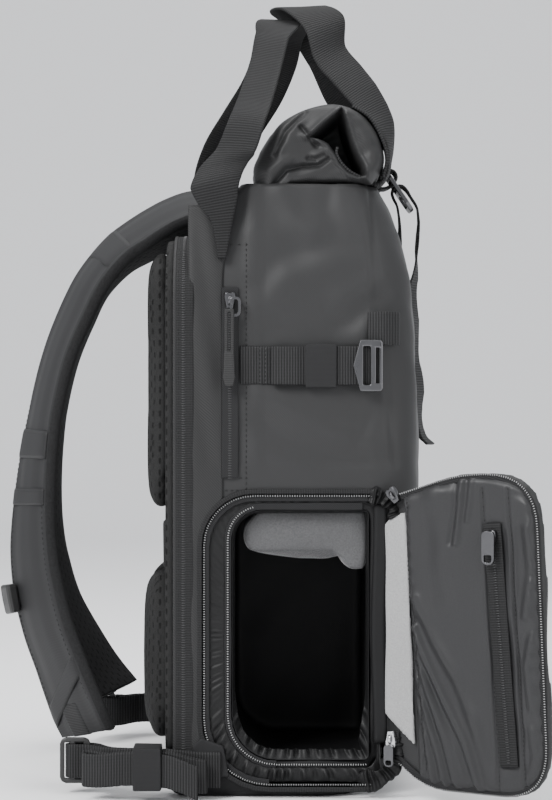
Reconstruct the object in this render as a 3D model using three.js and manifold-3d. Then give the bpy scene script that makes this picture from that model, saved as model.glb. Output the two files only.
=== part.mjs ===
// A camera backpack standing on its base: a coated shell with a rolled top and two carry
// handles, a padded back with two shoulder straps, and a padded camera bay in one side whose
// zipped door stands open. Millimetres. +Z is up, +X points to the front of the pack, away
// from the wearer, and -Y to the side with the camera door. The origin is in the flat base.
import * as THREE from "three";
import { mergeVertices } from "three/addons/utils/BufferGeometryUtils.js";
import Module from "manifold-3d";

const wasm = await Module();
wasm.setup();

// Whole pack
const packWidth = 280; // across the wearer's back
const bodyHeight = 400; // floor to the collar's seam
const shellBack = 64; // origin to the shell's back wall
const shellFront = 84; // origin to the shell's front wall at its corners
const shellWall = 3; // coated cloth with its foam
const frontCorner = 30;
const backCorner = 5;
const frontCrown = 5; // how far the front bulges in the middle
const baseHeight = 26; // the dark tub that the pack stands on
const seat = 0.35; // gap between pieces that touch
const clothThickness = 1.4;
const webThickness = 1.8;

// Back of the pack
const frameDepth = 9.6; // zipped gusset behind the shell
const frameWall = 3;
const frameHeight = bodyHeight - 34;
const frameCorner = 44;
const backDoorThickness = 7;
const upperPadThickness = 11;
const lowerPadThickness = 14;
const padCorner = 26;
const padInset = 24; // pad's side edge in from the pack's side
const upperPadLow = 181;
const upperPadHigh = frameHeight - 4;
const lowerPadLow = 30;
const lowerPadHigh = 145;
const channelWidth = 26; // air channel down the middle of the pads
const channelDepth = 8;
const bandThickness = 2.2;
const backZipWidth = 7.6;

// Rolled top
const rollLong = 41; // half the roll's long axis, front to back
const rollShort = 28; // half its height
const rollForward = 20; // roll's middle in front of the origin
const rollAbove = 24.5; // roll's middle above the collar's seam
const rollSheet = 3; // two layers of cloth rolled together
const rollWidth = 252;
const rollTurn = 520; // degrees of winding
const rollPlug = 120; // how much of the roll is filled with cloth, in its middle
const rollShrink = 0.62; // how much smaller the winding ends than it starts
const rollFirst = 196; // degrees, where the sheet leaves the collar
const collarWall = 2.6;
const cheekThickness = 3;

// Carry handles
const handleWidth = 34;
const handleThickness = 2.6;
const handleHeight = 130; // the back handle's middle above the collar's seam
const handleStack = 4; // from the back handle's middle up to the front one's

// Closure at the front
const closureWidth = 20;
const closureTail = 0.5675 * bodyHeight; // height of the tail's end above the floor
const hookThickness = 3;
const hookLength = 31;
const hookWidth = 28;
const hookBar = 4;

// Side strap
const sideWebWidth = 25;
const sideWebHeight = 0.7025 * bodyHeight; // middle of the side strap above the floor
const sideWebStart = -33;
const sideWebEnd = 58;
const keeperLength = 20;
const keeperStart = 10;
const keeperWall = 1.2;
const sideHookStart = 41;
const sideHookLength = 19;
const sideHookHeight = 33;
const cornerLoopHeight = sideWebHeight + 24;
const cornerLoopRise = 3.5; // how far the loop stands off the shell

// Shoulder straps
const strapReach = 100; // furthest the straps stand behind the zipped back
const strapSpacing = 176; // between the straps' middles, halfway down
const strapWidth = 62;
const strapThickness = 10;
const strapSlack = 11; // how much further out the right strap hangs
const strapSlackTurn = 10; // and how many degrees less it faces outwards
const strapBandThickness = 1.6;
const clipThickness = 8;
const lowerWebWidth = 22;
const lowerWebFold = 2.3; // radius of the folds in the spare webbing
const buckleWidth = 30;
const buckleLength = 20;
const buckleThickness = 4;
const buckleBar = 3;
const webKeeperLength = 18;
const tabThick = 2.4;

// Camera bay
const bayBack = 57.5; // origin to the opening's back edge
const bayFront = 62; // origin to the opening's front edge, where the door is sewn on
const bayLow = 7;
const bayHigh = 198;
const bayRadii = [44, 10, 10, 34]; // low back, low front, high front, high back
const zipTapeWidth = 5;
const cubeBack = 47;
const cubeFront = 60.5;
const cubeLow = 15;
const cubeHigh = 196;
const cubeRadii = [38, 12, 12, 28];
const cubeWall = 9;
const cubeDepth = 150;
const cubeZipIn = 6.5; // the cube's zip in from its outside
const dividerBack = 31;
const dividerFall = 28; // how far the divider pad hangs below the cube's roof
const dividerLobe = 12; // how much lower its front end hangs
const dividerDepth = 104;

// Side pocket, above the bay
const pocketZipX = -39;
const pocketZipWidth = 11;
const pocketZipLow = bayHigh + 10;
const pocketZipHigh = 0.83 * bodyHeight;
const ringThickness = 1.6;
const pullCord = 2.2;
const pullLength = 50;

// Camera door
const doorWidth = 118;
const doorLow = 7.5;
const doorHigh = 214;
const doorThickness = 6;
const doorSoft = 36; // how early its corners start to turn
const doorOpen = 147; // degrees from shut
const hingeCloth = 4.5; // bare cloth between the pack and the door's stiff panel
const liningThickness = 2.4;
const liningInset = 7; // lining in from the door's edge, leaving the zip
const plushTop = 12; // width of the plush strip beside the hinge, at its top
const plushBottom = 26; // and at its bottom
const doorZipTop = 79; // pocket zip's top from the hinge
const doorZipBottom = 91;
const doorZipLow = 31;
const doorZipHigh = 178;
const doorZipWidth = 10;
const sliderLow = 26; // the low slider above the door's low end
const sliderHigh = 21; // the high one below its high end
const sliderLength = 11;
const sliderWidth = 8;
const sliderThickness = 3.4;
const tabLength = 21;
const tabWidth = 8.8;
const tabThickness = 1.6;
const lowTabLength = 14;
const lowTabWidth = 7;
const tabGap = 0.6; // lets the tab turn in front of its slider

const backPlane = shellBack + seat + frameDepth + seat + backDoorThickness;
const halfWidth = packWidth / 2;

// The shell's sections: heights as shares of bodyHeight, back and front as shares of
// shellBack and shellFront, width as a share of packWidth.
const shellSections = [
  { height: 0.065, back: 1, front: 0.83, width: 1 },
  { height: 0.11, back: 1, front: 0.92, width: 1 },
  { height: 0.17, back: 1, front: 0.975, width: 1 },
  { height: 0.3, back: 1, front: 1, width: 1 },
  { height: 0.52, back: 1, front: 1, width: 1 },
  { height: 0.65, back: 1, front: 0.985, width: 1 },
  { height: 0.755, back: 1, front: 0.96, width: 1 },
  { height: 0.85, back: 1, front: 0.91, width: 0.985 },
  { height: 0.92, back: 0.93, front: 0.84, width: 0.965 },
  { height: 0.965, back: 0.72, front: 0.765, width: 0.945 },
  { height: 1, back: 0.5, front: 0.67, width: 0.93 },
];

// The base tub: heights as shares of baseHeight, the rest as shares of the same sizes.
const baseSections = [
  { height: 0, back: 0.9, front: 0.54, width: 0.95 },
  { height: 0.14, back: 0.96, front: 0.62, width: 0.98 },
  { height: 0.42, back: 0.995, front: 0.72, width: 0.997 },
  { height: 1, back: 1, front: 0.83, width: 1 },
];

// The collar under the roll: rise as a share of the roll's height above the seam, back and
// front as shares of rollLong from the roll's middle, width as a share of the pack's.
const collarSections = [
  { rise: 0, back: -1.08, front: 0.68, width: 0.925 },
  { rise: 0.25, back: -1.08, front: 0.42, width: 0.92 },
  { rise: 0.55, back: -1.03, front: 0.05, width: 0.91 },
  { rise: 1, back: -0.9, front: -0.35, width: 0.9 },
];

// The cloth gathered over each end of the roll, below and behind its dark mouth: places as
// shares of rollLong and rollShort from the roll's middle.
const cheekEdge = [
  { out: 0.62, up: -0.85 },
  { out: 0.45, up: -0.62 },
  { out: 0.27, up: -0.36 },
  { out: 0.1, up: 0.14 },
  { out: -0.17, up: 0.24 },
  { out: 0.14, up: 0.66 },
];

// The door's corners, seen from inside with the hinge at the left: out as a share of
// doorWidth, up of its height, soft of doorSoft.
const doorCorners = [
  { out: 0, up: 0.109, soft: 0.15 },
  { out: 0.24, up: 0, soft: 0.5 },
  { out: 1.01, up: 0, soft: 1 },
  { out: 0.93, up: 1, soft: 1 },
  { out: 0.46, up: 0.995, soft: 0.5 },
  { out: 0, up: 0.913, soft: 0.12 },
];

// Straight pieces of a function given by rows, read at one place.
function between(rows, key, place, column) {
  const last = rows.length - 1;
  if (place <= rows[0][key]) return rows[0][column];
  if (place >= rows[last][key]) return rows[last][column];
  const next = rows.findIndex((row) => row[key] > place);
  const low = rows[next - 1];
  const high = rows[next];
  const share = (place - low[key]) / (high[key] - low[key]);
  return low[column] + share * (high[column] - low[column]);
}

// A rounded rectangle as points, anticlockwise. Corners start at the low x, low y one.
function roundedRect(x0, y0, x1, y1, radii, steps, crown = 0) {
  const points = [];
  const corners = [
    { x: x0 + radii[0], y: y0 + radii[0], r: radii[0], from: 180 },
    { x: x1 - radii[1], y: y0 + radii[1], r: radii[1], from: 270 },
    { x: x1 - radii[2], y: y1 - radii[2], r: radii[2], from: 0 },
    { x: x0 + radii[3], y: y1 - radii[3], r: radii[3], from: 90 },
  ];
  const half = (y1 - y0) / 2;
  const bulge = (y) => crown * (1 - ((y - (y0 + y1) / 2) / half) ** 2);
  corners.forEach((corner, index) => {
    for (let i = 0; i <= steps[index]; i += 1) {
      const a = THREE.MathUtils.degToRad(corner.from + (90 * i) / steps[index]);
      const front = index === 1 || index === 2;
      const y = corner.y + corner.r * Math.sin(a);
      const share = Math.max(0, Math.cos(a));
      const x = corner.x + corner.r * Math.cos(a) + (front ? share * bulge(y) : 0);
      points.push(new THREE.Vector2(x, y));
    }
    if (index === 1 && crown > 0) {
      for (let i = 1; i < 6; i += 1) {
        const y = corner.y + ((corners[2].y - corner.y) * i) / 6;
        points.push(new THREE.Vector2(x1 + bulge(y), y));
      }
    }
  });
  return points;
}

// A closed solid through rings that all have as many points, each anticlockwise seen from
// the last ring.
function loft(rings) {
  const count = rings[0].length;
  const vertices = rings.flat().flatMap((p) => [p.x, p.y, p.z]);
  const faces = [];
  for (let i = 0; i + 1 < rings.length; i += 1) {
    for (let j = 0; j < count; j += 1) {
      const a = i * count + j;
      const b = i * count + ((j + 1) % count);
      faces.push(a, b, b + count, a, b + count, a + count);
    }
  }
  [0, rings.length - 1].forEach((row) => {
    const flat = flattened(rings[row]);
    THREE.ShapeUtils.triangulateShape(flat, []).forEach(([a, b, c]) => {
      const base = row * count;
      if (row === 0) faces.push(base + a, base + c, base + b);
      else faces.push(base + a, base + b, base + c);
    });
  });
  return new THREE.BufferGeometry()
    .setAttribute("position", new THREE.Float32BufferAttribute(vertices, 3))
    .setIndex(faces);
}

// A ring drawn in its own plane, as anticlockwise points.
function flattened(ring) {
  const normal = new THREE.Vector3();
  ring.forEach((p, i) => {
    const q = ring[(i + 1) % ring.length];
    normal.x += (p.y - q.y) * (p.z + q.z);
    normal.y += (p.z - q.z) * (p.x + q.x);
    normal.z += (p.x - q.x) * (p.y + q.y);
  });
  normal.normalize();
  const right = new THREE.Vector3().subVectors(ring[1], ring[0]);
  right.addScaledVector(normal, -right.dot(normal)).normalize();
  const up = new THREE.Vector3().crossVectors(normal, right);
  return ring.map((p) => new THREE.Vector2(p.dot(right), p.dot(up)));
}

// Turns a closed geometry into a solid that can be cut and joined.
function solid(geometry) {
  const bare = geometry.index ? geometry.toNonIndexed() : geometry.clone();
  bare.deleteAttribute("normal");
  bare.deleteAttribute("uv");
  const merged = mergeVertices(bare, 1e-4);
  return new wasm.Manifold(
    new wasm.Mesh({
      numProp: 3,
      vertProperties: new Float32Array(merged.attributes.position.array),
      triVerts: new Uint32Array(merged.index.array),
    }),
  );
}

// Turns a cut solid back into a geometry.
function geometryOf(shape) {
  const mesh = shape.getMesh();
  return new THREE.BufferGeometry()
    .setAttribute("position", new THREE.Float32BufferAttribute(mesh.vertProperties, 3))
    .setIndex(Array.from(mesh.triVerts));
}

function shapeOf(points) {
  return new THREE.Shape(points.map((p) => new THREE.Vector2(p.x, p.y)));
}

// Points, or a shape with holes, given a thickness and stood upright: the drawing's x runs
// along right, its y up, and its thickness along out.
function stood(drawn, thickness, right, out) {
  const shape = drawn instanceof THREE.Shape ? drawn : shapeOf(drawn);
  const up = new THREE.Vector3(0, 0, 1);
  const turn = new THREE.Matrix4().makeBasis(right, up, out);
  return new THREE.ExtrudeGeometry(shape, { depth: thickness, bevelEnabled: false }).applyMatrix4(
    turn,
  );
}

// A flat shape drawn in X and Z, made solid from y = near to y = far.
function plateXZ(drawn, near, far) {
  const right = new THREE.Vector3(1, 0, 0);
  const out = new THREE.Vector3(0, -1, 0);
  return stood(drawn, far - near, right, out).translate(0, far, 0);
}

// A flat shape drawn in Y and Z, made solid from x = low to x = high.
function plateYZ(drawn, low, high) {
  const right = new THREE.Vector3(0, 1, 0);
  const out = new THREE.Vector3(1, 0, 0);
  return stood(drawn, high - low, right, out).translate(low, 0, 0);
}

function block(x0, y0, z0, x1, y1, z1) {
  return new THREE.BoxGeometry(x1 - x0, y1 - y0, z1 - z0).translate(
    (x0 + x1) / 2,
    (y0 + y1) / 2,
    (z0 + z1) / 2,
  );
}

// A smooth run of stations through a short list of keys, each with a place and the
// direction in which the strap lies across.
function stationsThrough(keys, steps) {
  const places = new THREE.CatmullRomCurve3(
    keys.map((key) => new THREE.Vector3(...key.at)),
    false,
    "centripetal",
  );
  const last = keys.length - 1;
  const stations = [];
  for (let i = 0; i <= steps; i += 1) {
    const t = i / steps;
    const low = Math.min(Math.floor(t * last), last - 1);
    const share = t * last - low;
    const across = new THREE.Vector3(...keys[low].across)
      .normalize()
      .lerp(new THREE.Vector3(...keys[low + 1].across).normalize(), share)
      .normalize();
    const wideLow = keys[low].wide ?? 1;
    const wideHigh = keys[low + 1].wide ?? 1;
    stations.push({
      at: places.getPoint(t),
      along: places.getTangent(t),
      across,
      wide: wideLow + share * (wideHigh - wideLow),
    });
  }
  return stations;
}

// A strap of one thickness through stations; shift moves it out of its own line, along its
// face's normal, and edge is the share of the thickness that rounds its long edges off.
function strap(stations, width, thickness, shift = 0, edge = 0) {
  const rings = stations.map(({ at, along, across, wide }) => {
    const face = new THREE.Vector3().crossVectors(along, across).normalize();
    const half = (width * (wide ?? 1)) / 2;
    const thick = thickness / 2;
    const soft = thickness * edge;
    const section =
      edge > 0
        ? [
            [-half + soft, -thick],
            [half - soft, -thick],
            [half, -thick + soft],
            [half, thick - soft],
            [half - soft, thick],
            [-half + soft, thick],
            [-half, thick - soft],
            [-half, -thick + soft],
          ]
        : [
            [-half, -thick],
            [half, -thick],
            [half, thick],
            [-half, thick],
          ];
    return section.map(([w, n]) =>
      new THREE.Vector3()
        .copy(at)
        .addScaledVector(across, w)
        .addScaledVector(face, n + shift),
    );
  });
  return loft(rings);
}

// Places on an arc in a plane, for a strap that turns round a bar. Angles are in degrees.
function turnRound(radius, from, to, count) {
  return Array.from({ length: count + 1 }, (_, i) => {
    const a = THREE.MathUtils.degToRad(from + ((to - from) * i) / count);
    return new THREE.Vector2(radius * Math.cos(a), radius * Math.sin(a));
  });
}

// The smallest radius at which a strap turns round a bar of one width and thickness.
function barTurn(width, thickness) {
  return Math.hypot(width, thickness) / 2 + webThickness / 2 + seat;
}

// A tape that follows a flat outline: the outline's points with the direction out of it.
function outlineStations(points, place) {
  return points.map((p, i) => {
    const before = points[Math.max(i - 1, 0)];
    const after = points[Math.min(i + 1, points.length - 1)];
    const along = new THREE.Vector2().subVectors(after, before).normalize();
    return {
      at: place(p.x, p.y),
      along: place(along.x, along.y).sub(place(0, 0)),
      across: place(along.y, -along.x).sub(place(0, 0)),
    };
  });
}

const group = new THREE.Group();
const doorGroup = new THREE.Group();
const finishes = {
  coated: { color: 0x4a4a4b, roughness: 0.55 },
  base: { color: 0x1b1b1c, roughness: 0.6 },
  twill: { color: 0x404041, roughness: 0.8 },
  mesh: { color: 0x2a2a2b, roughness: 0.95 },
  webbing: { color: 0x343435, roughness: 0.85 },
  lining: { color: 0x3c3c3e, roughness: 0.5 },
  zip: { color: 0x39393a, roughness: 0.7 },
  plastic: { color: 0x1f1f20, roughness: 0.4 },
  metal: { color: 0x6b6b6d, roughness: 0.35, metalness: 0.9 },
  plush: { color: 0x767678, roughness: 1 },
  paleplush: { color: 0xb9b9ba, roughness: 1 },
};

function add(name, finish, geometry, parent = group) {
  const material = new THREE.MeshStandardMaterial(finishes[finish]);
  const mesh = new THREE.Mesh(geometry, material);
  mesh.name = name;
  parent.add(mesh);
  return mesh;
}

// The shell's outline at one height, taken in by inset.
function shellRing(z, inset = 0) {
  const share = z / bodyHeight;
  const back = between(shellSections, "height", share, "back") * shellBack;
  const front = between(shellSections, "height", share, "front") * shellFront;
  const half = between(shellSections, "height", share, "width") * halfWidth;
  return packRing(z, back, front, half, inset);
}

function packRing(z, back, front, half, inset) {
  const f = Math.max(frontCorner - inset, 1);
  const b = Math.max(backCorner - inset, 1);
  return roundedRect(
    -back + inset,
    -half + inset,
    front - inset,
    half - inset,
    [b, f, f, b],
    [2, 6, 6, 2],
    frontCrown,
  ).map((p) => new THREE.Vector3(p.x, p.y, z));
}

// The side of the shell at one height, where straps and zips lie on it.
function sideAt(z) {
  return between(shellSections, "height", z / bodyHeight, "width") * halfWidth;
}

// The front of the shell at one height, in the middle of the pack.
function frontAt(z) {
  return between(shellSections, "height", z / bodyHeight, "front") * shellFront + frontCrown;
}

const bayCut = roundedRect(-bayBack, bayLow, bayFront, bayHigh, bayRadii, [8, 3, 3, 7]);
const cubeSide = roundedRect(-cubeBack, cubeLow, cubeFront, cubeHigh, cubeRadii, [7, 3, 3, 6]);

// Moves a closed anticlockwise outline in by one distance, or out if it is negative.
function inset(points, distance) {
  const count = points.length;
  return points.map((p, i) => {
    const before = points[(i + count - 1) % count];
    const after = points[(i + 1) % count];
    const a = new THREE.Vector2().subVectors(p, before).normalize();
    const b = new THREE.Vector2().subVectors(after, p).normalize();
    const normal = new THREE.Vector2(-a.y - b.y, a.x + b.x).normalize();
    const lean = Math.max(normal.dot(new THREE.Vector2(-a.y, a.x)), 0.5);
    return p.clone().addScaledVector(normal, distance / lean);
  });
}

// A closed outline through corners that turn softly, each starting to turn at its own
// distance from the corner.
function softOutline(corners, steps) {
  const count = corners.length;
  const points = [];
  corners.forEach(({ at, soft }, i) => {
    const before = corners[(i + count - 1) % count].at;
    const after = corners[(i + 1) % count].at;
    const first = at.clone().add(before.clone().sub(at).setLength(soft));
    const last = at.clone().add(after.clone().sub(at).setLength(soft));
    const turns = Math.max(2, Math.round((steps * soft) / doorSoft));
    for (let j = 0; j <= turns; j += 1) {
      const t = j / turns;
      points.push(
        first
          .clone()
          .multiplyScalar((1 - t) ** 2)
          .addScaledVector(at, 2 * t * (1 - t))
          .addScaledVector(last, t * t),
      );
    }
  });
  return points;
}

// The room inside the tub and the shell, with a gap kept to their walls.
function insideRings(gap) {
  const taken = shellWall + gap;
  const low = baseSections
    .filter((row) => row.height * baseHeight > taken)
    .map((row) => baseRing(row, row.height * baseHeight, taken));
  const high = shellSections
    .filter((row) => row.height * bodyHeight > baseHeight)
    .map((row) => shellRing(row.height * bodyHeight, taken));
  return [...low, shellRing(baseHeight + seat, taken), ...high.slice(1)];
}

function baseRing(row, z, taken) {
  const half = halfWidth * row.width;
  return packRing(z, backPlane * row.back, shellFront * row.front, half, taken);
}

// The same ring, moved up.
function raised(ring, rise) {
  return ring.map((p) => new THREE.Vector3(p.x, p.y, p.z + rise));
}

const shellHeights = [
  baseHeight + seat,
  ...shellSections.map((row) => row.height * bodyHeight).filter((z) => z > baseHeight + 1),
];

// The shell's outside with a gap added all round, for what lies against it.
function shellWithGap() {
  const rings = shellHeights.map((z) => shellRing(z, -seat));
  return solid(loft([...rings, raised(rings[rings.length - 1], seat)]));
}

function makeShell() {
  const outside = solid(loft(shellHeights.map((z) => shellRing(z))));
  const rings = shellHeights.map((z) => shellRing(z, shellWall));
  const above = raised(rings[rings.length - 1], 2);
  const hollow = solid(loft([raised(rings[0], -2), ...rings, above]));
  const door = solid(plateXZ(bayCut, -halfWidth - 5, -halfWidth + shellWall + 4));
  add("body_shell", "coated", geometryOf(outside.subtract(hollow).subtract(door)));
}

function makeBase() {
  const ring = (row, taken) => baseRing(row, row.height * baseHeight, taken);
  const outside = solid(loft(baseSections.map((row) => ring(row, 0))));
  const floor = baseRing(baseSections[1], shellWall, shellWall);
  const rings = baseSections.slice(2).map((row) => ring(row, shellWall));
  const hollow = solid(loft([floor, ...rings, raised(rings[rings.length - 1], 2)]));
  const door = solid(plateXZ(bayCut, -halfWidth - 5, -halfWidth + shellWall + 5));
  add("base_tub", "base", geometryOf(outside.subtract(hollow).subtract(door)));
}

// The outline of the zipped back, seen from behind.
function backOutline(inset) {
  const r = frameCorner - inset;
  return roundedRect(
    -halfWidth + 1 + inset,
    baseHeight + seat + inset,
    halfWidth - 1 - inset,
    frameHeight - inset,
    [10, 10, r, r],
    [3, 3, 8, 8],
  );
}

function makeBack() {
  const frameBack = -shellBack - seat - frameDepth;
  const frameOuter = solid(plateYZ(backOutline(0), frameBack, -shellBack - seat));
  const frameInner = solid(plateYZ(backOutline(frameWall), frameBack - 1, -shellBack));
  add("back_gusset", "twill", geometryOf(frameOuter.subtract(frameInner)));
  add("back_panel", "twill", plateYZ(backOutline(0.5), -backPlane, frameBack - seat));

  const zipX = frameBack + backZipWidth / 2 + 1;
  const offset = seat + clothThickness / 2;
  const outline = backOutline(-offset);
  // The zip leaves out the outline's two low corners, of four points each.
  const run = outline.slice(7).concat(outline.slice(0, 1));
  const stations = outlineStations(run, (y, z) => new THREE.Vector3(zipX, y, z));
  stations.forEach((s) => s.across.set(1, 0, 0));
  add("back_zip", "zip", strap(stations, backZipWidth, clothThickness));

  [
    ["back_pad_upper", upperPadLow, upperPadHigh, upperPadThickness],
    ["back_pad_lower", lowerPadLow, lowerPadHigh, lowerPadThickness],
  ].forEach(([name, low, high, padThickness]) => {
    const depths = [
      { depth: 0, inset: 1 },
      { depth: 0.45, inset: 0 },
      { depth: 0.85, inset: 3 },
      { depth: 1, inset: 9 },
    ];
    const rings = depths.map(({ depth, inset }) => {
      const half = halfWidth - padInset - inset;
      const r = padCorner - inset;
      return roundedRect(-half, low + inset, half, high - inset, [r, r, r, r], [5, 5, 5, 5]).map(
        (p) => new THREE.Vector3(-backPlane - seat - depth * padThickness, -p.x, p.y),
      );
    });
    const channel = block(
      -backPlane - padThickness - 2,
      -channelWidth / 2,
      low - 2,
      -backPlane - seat - padThickness + channelDepth,
      channelWidth / 2,
      high + 2,
    );
    add(name, "mesh", geometryOf(solid(loft(rings)).subtract(solid(channel))));
  });

  const bandLow = lowerPadHigh + 2;
  const bandHigh = upperPadLow - 2;
  const bandHalf = halfWidth - padInset - 6;
  add(
    "luggage_band",
    "paleplush",
    block(-backPlane - seat - bandThickness, -bandHalf, bandLow, -backPlane - seat, bandHalf, bandHigh),
  );
}

// A point of the roll's winding, by how far the sheet has gone round.
function rollPoint(share) {
  const a = THREE.MathUtils.degToRad(rollFirst - rollTurn * share);
  const size = 1 - rollShrink * Math.max(0, (share - 0.38) / 0.62);
  return rollPlace(size * Math.cos(a), size * Math.sin(a));
}

function rollPlace(out, up) {
  return new THREE.Vector2(
    rollForward + out * rollLong,
    bodyHeight + rollAbove + up * rollShort,
  );
}

function makeRollTop() {
  const low = bodyHeight + seat;
  const collarRing = (row, taken) => {
    const z = low + row.rise * (rollAbove + 4);
    const half = row.width * halfWidth - taken;
    const r = Math.max(6 - taken, 1);
    return roundedRect(
      rollForward + row.back * rollLong + taken,
      -half,
      rollForward + row.front * rollLong - taken,
      half,
      [r, r, r, r],
      [2, 2, 2, 2],
    ).map((p) => new THREE.Vector3(p.x, p.y, z));
  };
  const outer = solid(loft(collarSections.map((row) => collarRing(row, 0))));
  const innerRings = collarSections.map((row) => collarRing(row, collarWall));
  innerRings[innerRings.length - 1].forEach((p) => p.setZ(p.z - collarWall));
  const room = solid(loft([raised(innerRings[0], -2), ...innerRings]));

  const windings = 48;
  const middle = Array.from({ length: windings + 1 }, (_, i) => rollPoint(i / windings));
  const side = (sign) =>
    middle.map((p, i) => {
      const along = new THREE.Vector2()
        .subVectors(middle[Math.min(i + 1, windings)], middle[Math.max(i - 1, 0)])
        .normalize();
      return new THREE.Vector2(
        p.x - (sign * along.y * rollSheet) / 2,
        p.y + (sign * along.x * rollSheet) / 2,
      );
    });
  const sheet = solid(
    plateXZ([...side(1), ...side(-1).reverse()].reverse(), -rollWidth / 2, rollWidth / 2),
  );

  const cheek = [new THREE.Vector2(rollForward - 1.08 * rollLong, low)];
  cheek.push(new THREE.Vector2(rollForward + 0.66 * rollLong, low));
  cheekEdge.forEach(({ out, up }) => cheek.push(rollPlace(out, up)));
  for (let a = 70; a <= 190; a += 12) {
    const turn = THREE.MathUtils.degToRad(a);
    cheek.push(rollPlace(1.03 * Math.cos(turn), 1.03 * Math.sin(turn)));
  }
  const cheeks = [-1, 1].map((hand) => {
    const near = hand < 0 ? -rollWidth / 2 - cheekThickness : rollWidth / 2 - 1;
    return solid(plateXZ(cheek, near, near + cheekThickness + 1));
  });
  // The rolled cloth in the middle, which stops the view through the roll.
  const core = Array.from({ length: 32 }, (_, i) => {
    const turn = (2 * Math.PI * i) / 32;
    return rollPlace(0.98 * Math.cos(turn), 0.98 * Math.sin(turn));
  });
  const plug = solid(plateXZ(core, -rollPlug / 2, rollPlug / 2));
  const below = solid(block(-shellBack, -halfWidth, 0, shellFront, halfWidth, low));
  const roll = outer.add(sheet).add(cheeks[0]).add(cheeks[1]).add(plug);
  add("roll_top", "coated", geometryOf(roll.subtract(room).subtract(below)));
}

// The handles' lines from the near sewn end over the top to the far one. x is a share of
// shellFront, y of halfWidth, z of handleHeight above the seam; wide a share of handleWidth.
const backHandleRows = [
  { x: -0.525, y: -1.008, z: -0.38, wide: 0.15, across: [1, 0, 0] },
  { x: -0.525, y: -1.012, z: -0.19, wide: 0.42, across: [1, 0, 0.1] },
  { x: -0.555, y: -1.014, z: -0.1, wide: 0.75, across: [1, 0, 0.2] },
  { x: -0.575, y: -1.012, z: 0, wide: 1, across: [1, 0, 0.22] },
  { x: -0.52, y: -0.97, z: 0.09, wide: 1, across: [0.93, -0.25, 0.12] },
  { x: -0.43, y: -0.965, z: 0.165, wide: 1, across: [0.75, -0.65, -0.1] },
  { x: -0.34, y: -0.93, z: 0.32, wide: 1, across: [0.68, -0.7, -0.15] },
  { x: -0.275, y: -0.78, z: 0.45, wide: 1, across: [0.66, -0.72, -0.15] },
  { x: -0.185, y: -0.56, z: 0.67, wide: 1, across: [0.62, -0.75, -0.2] },
  { x: -0.135, y: -0.4, z: 0.835, wide: 1, across: [0.66, -0.7, -0.2] },
  { x: -0.075, y: -0.24, z: 0.93, wide: 1, across: [0.92, -0.25, -0.05] },
  { x: -0.01, y: 0, z: 0.97, wide: 1, across: [1, 0, 0] },
  { x: -0.08, y: 0.24, z: 0.925, wide: 1, across: [0.95, 0.2, -0.1] },
  { x: -0.12, y: 0.38, z: 0.83, wide: 1, across: [0.9, 0.25, -0.3] },
  { x: -0.23, y: 0.52, z: 0.68, wide: 1, across: [0.85, 0.3, -0.4] },
  { x: -0.4, y: 0.64, z: 0.52, wide: 1, across: [0.85, 0.3, -0.42] },
  { x: -0.57, y: 0.77, z: 0.36, wide: 1, across: [0.9, 0.25, -0.25] },
  { x: -0.66, y: 0.9, z: 0.19, wide: 1, across: [1, 0.1, 0.1] },
  { x: -0.62, y: 0.985, z: 0.03, wide: 1, across: [1, 0, 0.15] },
  { x: -0.56, y: 1.014, z: -0.1, wide: 0.75, across: [1, 0, 0.15] },
  { x: -0.525, y: 1.012, z: -0.2, wide: 0.42, across: [1, 0, 0.1] },
  { x: -0.525, y: 1.008, z: -0.38, wide: 0.15, across: [1, 0, 0] },
];
const frontHandleRows = [
  { x: 0.62, y: -0.68, z: 0.016, wide: 1, across: [0, 1, 0] },
  { x: 0.71, y: -0.68, z: 0.018, wide: 1, across: [0, 1, 0] },
  { x: 0.775, y: -0.68, z: 0.07, wide: 1, across: [0.05, 1, 0] },
  { x: 0.797, y: -0.675, z: 0.15, wide: 1, across: [0.1, 1, 0] },
  { x: 0.8, y: -0.665, z: 0.235, wide: 1, across: [0.2, 0.98, 0.05] },
  { x: 0.768, y: -0.64, z: 0.335, wide: 1, across: [0.38, 0.9, 0.2] },
  { x: 0.695, y: -0.61, z: 0.415, wide: 1, across: [0.5, 0.8, 0.32] },
  { x: 0.59, y: -0.56, z: 0.517, wide: 1, across: [0.56, 0.71, 0.42] },
  { x: 0.47, y: -0.5, z: 0.621, wide: 1, across: [0.58, 0.69, 0.43] },
  { x: 0.34, y: -0.43, z: 0.735, wide: 1, across: [0.6, 0.68, 0.43] },
  { x: 0.29, y: -0.35, z: 0.91, wide: 1, across: [0.75, 0.45, 0.3] },
  { x: 0.14, y: -0.22, z: 1.01, wide: 1, across: [0.92, 0.3, 0.1] },
  { x: 0.04, y: 0, z: 1 + handleStack / handleHeight, wide: 1, across: [1, 0, 0] },
  { x: 0.16, y: 0.22, z: 1.01, wide: 1, across: [0.92, -0.3, 0.1] },
  { x: 0.32, y: 0.36, z: 0.85, wide: 1, across: [0.65, -0.65, 0.38] },
  { x: 0.45, y: 0.46, z: 0.68, wide: 1, across: [0.6, -0.68, 0.43] },
  { x: 0.6, y: 0.54, z: 0.54, wide: 1, across: [0.56, -0.71, 0.42] },
  { x: 0.72, y: 0.6, z: 0.41, wide: 1, across: [0.45, -0.82, 0.28] },
  { x: 0.8, y: 0.65, z: 0.28, wide: 1, across: [0.2, -0.98, 0.05] },
  { x: 0.805, y: 0.675, z: 0.16, wide: 1, across: [0.1, -1, 0] },
  { x: 0.775, y: 0.68, z: 0.07, wide: 1, across: [0.05, -1, 0] },
  { x: 0.71, y: 0.68, z: 0.018, wide: 1, across: [0, -1, 0] },
  { x: 0.62, y: 0.68, z: 0.016, wide: 1, across: [0, -1, 0] },
];

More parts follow.
